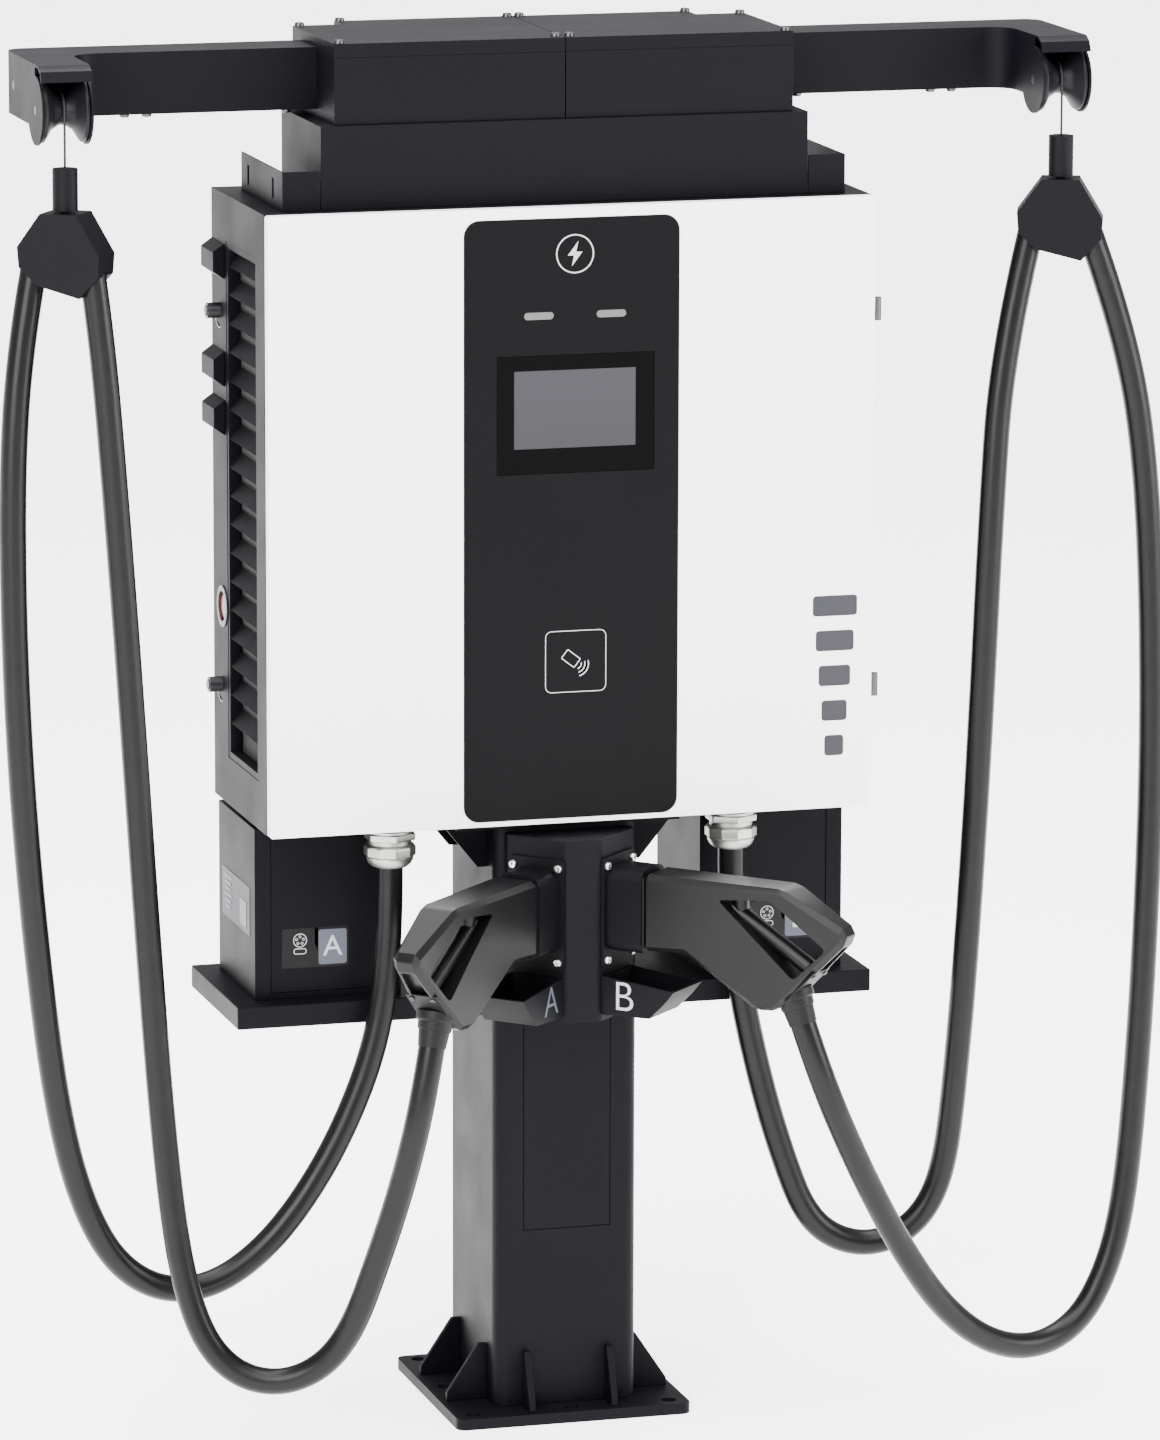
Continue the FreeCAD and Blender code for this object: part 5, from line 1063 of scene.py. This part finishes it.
@dataclass
class Marks:
    """Generic printed marks and letters: a bolt, a card, outlet letters and blank plates."""

    bench: Bench
    glass_y: float = -0.1343
    door_y: float = -0.1333
    proud: float = 0.00025

    def facing(self, at: Point, toward: Point = (0, -1, 0), turn: float = 0.0) -> Matrix:
        """A place for a flat mark that looks along a direction, its top upwards.

        Args:
            at: the mark's middle.
            toward: the outward direction.
            turn: a turn about that direction in degrees.

        Returns:
            The matrix that stands a mark drawn in X and Y there.
        """
        out = Vector(toward).normalized()
        right = Vector((0, 0, 1)).cross(out).normalized()
        basis = Matrix((right, out.cross(right), out)).transposed().to_4x4()
        return Matrix.Translation(at) @ basis @ Matrix.Rotation(math.radians(turn), 4, "Z")

    def ring(self, half_x: float, half_y: float, radius: float, line: float) -> bpy.types.Object:
        """The outline of a rounded rectangle, of the given line width."""
        bench = self.bench
        shapes = []
        for inset in (0.0, line):
            x, y = half_x - inset, half_y - inset
            depth = self.proud if not inset else self.proud * 3
            slab = bench.plate(((-x, -y), (x, -y), (x, y), (-x, y)), depth)
            bench.pick(slab, "EDGE", lambda a, b: abs(a.z - b.z) > self.proud / 2)
            bpy.ops.mesh.bevel(offset=radius - inset, segments=8, affect="EDGES")
            bpy.ops.object.mode_set(mode="OBJECT")
            shapes.append(slab)
        shapes[1].location.z = -self.proud
        bench.settle(shapes[1])
        bench.carve(shapes[0], shapes[1])
        return shapes[0]

    def badge(self, half_x: float, half_y: float, radius: float) -> bpy.types.Object:
        """A thin rounded plate."""
        slab = self.bench.plate(((-half_x, -half_y), (half_x, -half_y), (half_x, half_y),
                                 (-half_x, half_y)), self.proud * 2)
        self.bench.pick(slab, "EDGE", lambda a, b: abs(a.z - b.z) > self.proud / 2)
        bpy.ops.mesh.bevel(offset=radius, segments=4, affect="EDGES")
        bpy.ops.object.mode_set(mode="OBJECT")
        return slab

    def arc(self, radius: float, line: float, start: float, end: float, steps: int = 12) -> bpy.types.Object:
        """A printed arc between two angles in degrees."""
        angles = [math.radians(start + (end - start) * step / steps) for step in range(steps + 1)]
        outer = [(math.cos(a) * (radius + line / 2), math.sin(a) * (radius + line / 2)) for a in angles]
        inner = [(math.cos(a) * (radius - line / 2),
                  math.sin(a) * (radius - line / 2)) for a in reversed(angles)]
        return self.bench.plate(outer + inner, self.proud)

    def letter(self, text: str, size: float, thin: float = 0.0) -> bpy.types.Object:
        """One outlet letter, centred, as a thin solid, its strokes made thinner by some metres."""
        thing = self.bench.start(bpy.ops.object.text_add)
        thing.data.body = text
        thing.data.size = size
        thing.data.align_x = "CENTER"
        thing.data.align_y = "CENTER"
        thing.data.extrude = self.proud
        thing.data.offset = -thin
        self.bench.only(thing)
        bpy.ops.object.convert(target="MESH")
        return bpy.context.object

    def put(self, parts: Sequence[tuple[bpy.types.Object, Matrix]], name: str, slot: str, body: str) -> None:
        """Stand the parts of one mark and finish it."""
        for thing, place in parts:
            thing.matrix_world = place
            self.bench.settle(thing)
        whole = self.bench.join([thing for thing, _ in parts])
        self.bench.finish(whole, name, slot, body)

    def door(self) -> None:
        """Marks on the door: a bolt in a ring, a card with waves in a frame, and a stack of bars."""
        bolt = [(0.0040, 0.0150), (-0.0090, -0.0020), (-0.0012, -0.0020), (-0.0040, -0.0150),
                (0.0090, 0.0022),
                (0.0012, 0.0022)]
        here = self.facing((0.000, self.glass_y, 1.4345))
        self.put([(self.bench.plate(bolt, self.proud), here),
                  (self.ring(0.0235, 0.0235, 0.0233, 0.0016), here)],
                 "bolt_mark", "ink_pale", "door")
        here = self.facing((0.002, self.glass_y, 0.942))
        card = self.facing((-0.004, self.glass_y, 0.9455), turn=-38)
        waves = [(self.arc(0.006 + 0.0045 * index, 0.0013, -75, 15),
                  self.facing((0.003, self.glass_y, 0.9385)))
                 for index in range(3)]
        self.put([(self.ring(0.038, 0.0377, 0.0080, 0.0009), here),
                  (self.ring(0.0105, 0.0070, 0.0015, 0.0011), card),
                  *waves], "card_mark", "ink_pale", "door")
        bars = []
        for index, reach in enumerate((0.012, 0.016, 0.020, 0.024, 0.028)):
            bars.append((self.badge(reach, 0.0125, 0.0040),
                         self.facing((0.328, self.door_y, 0.822 + index * 0.043))))
        self.put(bars, "level_mark", "ink_grey", "door")

    def outlets(self) -> None:
        """Outlet letters on the scoops, and the label plates on the junction boxes."""
        for side, text, ink in ((Side.LEFT, "A", "plate_grey"), (Side.RIGHT, "B", "ink_pale")):
            across = side.value * 0.5 ** 0.5
            toward = (-across, -(0.5 ** 0.5), 0)
            frame = Gun(self.bench, side).place()
            wall = frame @ Vector((0.030, -side.value * 0.0361, 0.5385))
            self.put([(self.letter(text, 0.052, 0.0006), self.facing(wall, toward))],
                     f"scoop_letter_{text}", ink, "post")
            left = -0.3150 if side is Side.LEFT else 0.2755
            black = self.facing((left, -0.0343, 0.5865))
            grey = self.facing((left + 0.0405, -0.0349, 0.5865))
            self.put([(self.badge(0.0225, 0.0245, 0.002), black), (self.badge(0.0210, 0.0245, 0.002),
                     self.facing((left + 0.0395, -0.0343, 0.5865)))], f"label_back_{text}", "plate_black",
                     "post")
            self.put([(self.badge(0.0175, 0.0215, 0.003), grey)], f"label_tile_{text}", "plate_grey", "post")
            icon = [(self.ring(0.0085, 0.0085, 0.0083, 0.0009), self.facing((left, -0.0349, 0.5960)))]
            for angle in range(0, 360, 72):
                dx, dz = 0.0045 * math.sin(math.radians(angle)), 0.0045 * math.cos(math.radians(angle))
                icon.append((self.ring(0.0016, 0.0016, 0.0015, 0.0006),
                             self.facing((left + dx, -0.0349, 0.5960 + dz))))
            icon.append((self.ring(0.0080, 0.0036, 0.0033, 0.0009), self.facing((left, -0.0349, 0.5825))))
            letter = self.facing((left + 0.0405, -0.0355, 0.5865))
            self.put([*icon, (self.letter(text, 0.036), letter)], f"label_print_{text}", "ink_pale", "post")

    def side(self) -> None:
        """The blank rating plate, and the turning arrows beside the locks."""
        west = (-1, 0, 0)
        self.put([(self.badge(0.070, 0.030, 0.002), self.facing((-0.371, 0.060, 0.629), west))],
                 "rating_plate", "plate_dim", "post")
        rows = [(self.badge(0.018 - 0.003 * (index % 3), 0.0016, 0.0004),
                 self.facing((-0.3715, 0.098, 0.6505 - index * 0.0075), west)) for index in range(6)]
        rows.append((self.badge(0.016, 0.016, 0.001), self.facing((-0.3715, 0.022, 0.622), west)))
        self.put(rows, "rating_rows", "plate_grey", "post")
        for name, height in (("upper", 1.346), ("lower", 0.887)):
            turn = self.facing((-0.375, 0.1145, height), west)
            tip = self.bench.plate(((-0.003, 0), (0.003, 0), (0, 0.005)), self.proud)
            point = turn @ Matrix.Translation((-0.0162, -0.0135, 0)) @ Matrix.Rotation(math.radians(42), 4,
                                                                                       "Z")
            self.put([(self.arc(0.0210, 0.0014, -140, -70), turn), (tip, point)], f"lock_arrow_{name}",
                     "ink_pale", "post")


# ---------------------------------------------------------------- studio


@dataclass
class Studio:
    """The pale floor, the soft lights and the camera."""

    bench: Bench
    eye: tuple[float, float, float] = (-2.6581, -9.4388, 2.7848)
    tilt: float = 78.808
    heading: float = -15.987
    roll: float = 0.155
    lens: float = 205.41
    floor_size: float = 90.0
    floor_glow: float = 2.6
    sky_strength: float = 0.9
    sun_strength: float = 5.0
    sun_spread: float = 50.0
    sun_aim: tuple[float, float, float] = (38.0, 0.0, -25.0)
    lamps: tuple[tuple[str, Point, Point, float, float], ...] = (
        ("overhead", (0.0, 0.6, 4.6), (0.0, 0.0, 0.0), 3.6, 520.0),
        ("front_left", (-3.4, -3.6, 2.6), (0.0, 0.0, 0.9), 2.8, 330.0),
        ("front_right", (3.8, -2.6, 2.0), (0.0, 0.0, 0.9), 2.4, 260.0))

    def build(self) -> None:
        """Set the stage."""
        floor = self.bench.start(bpy.ops.mesh.primitive_plane_add, size=self.floor_size, location=(0, 0, 0))
        floor.name = "floor"
        self.bench.palette.dress(floor, "floor")
        glow = self.bench.palette.materials["floor"].node_tree.nodes["Principled BSDF"].inputs
        glow["Emission Color"].default_value = (1.0, 1.0, 1.0, 1.0)
        glow["Emission Strength"].default_value = self.floor_glow
        floor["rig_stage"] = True
        world = bpy.data.worlds.new("soft_sky")
        world.use_nodes = True
        sky = world.node_tree.nodes["Background"]
        sky.inputs["Color"].default_value = (1.0, 1.0, 1.0, 1.0)
        sky.inputs["Strength"].default_value = self.sky_strength
        bpy.context.scene.world = world
        for lamp in self.lamps:
            self.light(*lamp)
        day = bpy.data.lights.new("daylight", "SUN")
        day.angle = math.radians(self.sun_spread)
        day.energy = self.sun_strength
        sun = bpy.data.objects.new("daylight", day)
        sun.rotation_euler = [math.radians(angle) for angle in self.sun_aim]
        bpy.context.scene.collection.objects.link(sun)
        self.camera()

    def light(self, name: str, at: Point, aim: Point, size: float, power: float) -> None:
        """Add one soft light that looks at a point."""
        data = bpy.data.lights.new(name, "AREA")
        data.size = size
        data.energy = power
        lamp = bpy.data.objects.new(name, data)
        lamp.location = at
        lamp.rotation_euler = (Vector(aim) - Vector(at)).to_track_quat("-Z", "Y").to_euler()
        bpy.context.scene.collection.objects.link(lamp)

    def camera(self) -> None:
        """Stand the camera at the viewing angle."""
        data = bpy.data.cameras.new("camera")
        data.lens = self.lens
        eye = bpy.data.objects.new("camera", data)
        look = Matrix.Rotation(math.radians(self.heading), 4,
                               "Z") @ Matrix.Rotation(math.radians(self.tilt), 4, "X")
        eye.matrix_world = Matrix.Translation(self.eye) @ look @ Matrix.Rotation(math.radians(self.roll), 4,
                                                                                 "Z")
        bpy.context.scene.collection.objects.link(eye)
        bpy.context.scene.camera = eye


# ---------------------------------------------------------------- the whole post


class Post:
    """The whole charging post: softened CAD parts, modelled pieces, marks and studio."""

    EDGES: dict[str, float] = {
        "base_plate": 0.0012, "base_gussets": 0.0010, "post_tube": 0.0008, "access_cover": 0.0010,
        "shelf_tray": 0.0016, "junction_boxes": 0.0012, "junction_covers": 0.0010, "head_bracket": 0.0010,
        "cabinet_shell": 0.0008, "side_covers": 0.0014, "louvre_panels": 0.0005, "vent_hoods": 0.0010,
        "side_housings": 0.0007, "top_box_lower": 0.0014, "top_boxes_upper": 0.0012, "top_lids": 0.0014,
        "ear_brackets": 0.0008, "arms": 0.0009, "holster_body": 0.0022, "plug_holders": 0.0014,
        "front_door": 0.0016, "display_glass": 0.0006, "screen_bezel": 0.0004, "touch_screen": 0.0003,
        "indicator_lenses": 0.0008, "hinge_knuckles": 0.0006, "hinge_leaves": 0.0006, "pulley_left": 0.0010,
        "pulley_right": 0.0010, "clamp_left": 0.0016, "clamp_right": 0.0016, "power_modules": 0.0008,
        "control_unit": 0.0012, "fan_frame": 0.0010,
    }

    def __init__(self) -> None:
        """Load the frame and make the finishes."""
        self.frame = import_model()
        self.cad_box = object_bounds()
        self.bench = Bench(Palette(), self.frame)

    def dress_cad(self) -> None:
        """Give each carried-over CAD node its finish, and softened copies where edges show."""
        for node, thing in self.frame["nodes"].items():
            self.bench.palette.dress(thing, self.bench.slots[node])
        for node, width in self.EDGES.items():
            self.bench.softened(node, width)
        self.bench.palette.dress(self.bench.softened("pulley_axles", 0.0006), "axle_dark")

    def build(self) -> None:
        """Build everything in order."""
        Studio(self.bench).build()
        for strand in (*CABLES, wire_rope(Side.LEFT), wire_rope(Side.RIGHT)):
            strand.build(self.bench)
        self.dress_cad()
        for side in Side:
            Gun(self.bench, side).build()
        fasteners = Fasteners(self.bench)
        fasteners.top()
        fasteners.holders()
        Glands(self.bench).build()
        SideFittings(self.bench).build()
        marks = Marks(self.bench)
        marks.door()
        marks.outlets()
        marks.side()


def main() -> None:
    """Build the post and report each piece."""
    logging.basicConfig(level=logging.INFO, format="%(message)s")
    post = Post()
    post.build()


if __name__ == "__main__":
    main()
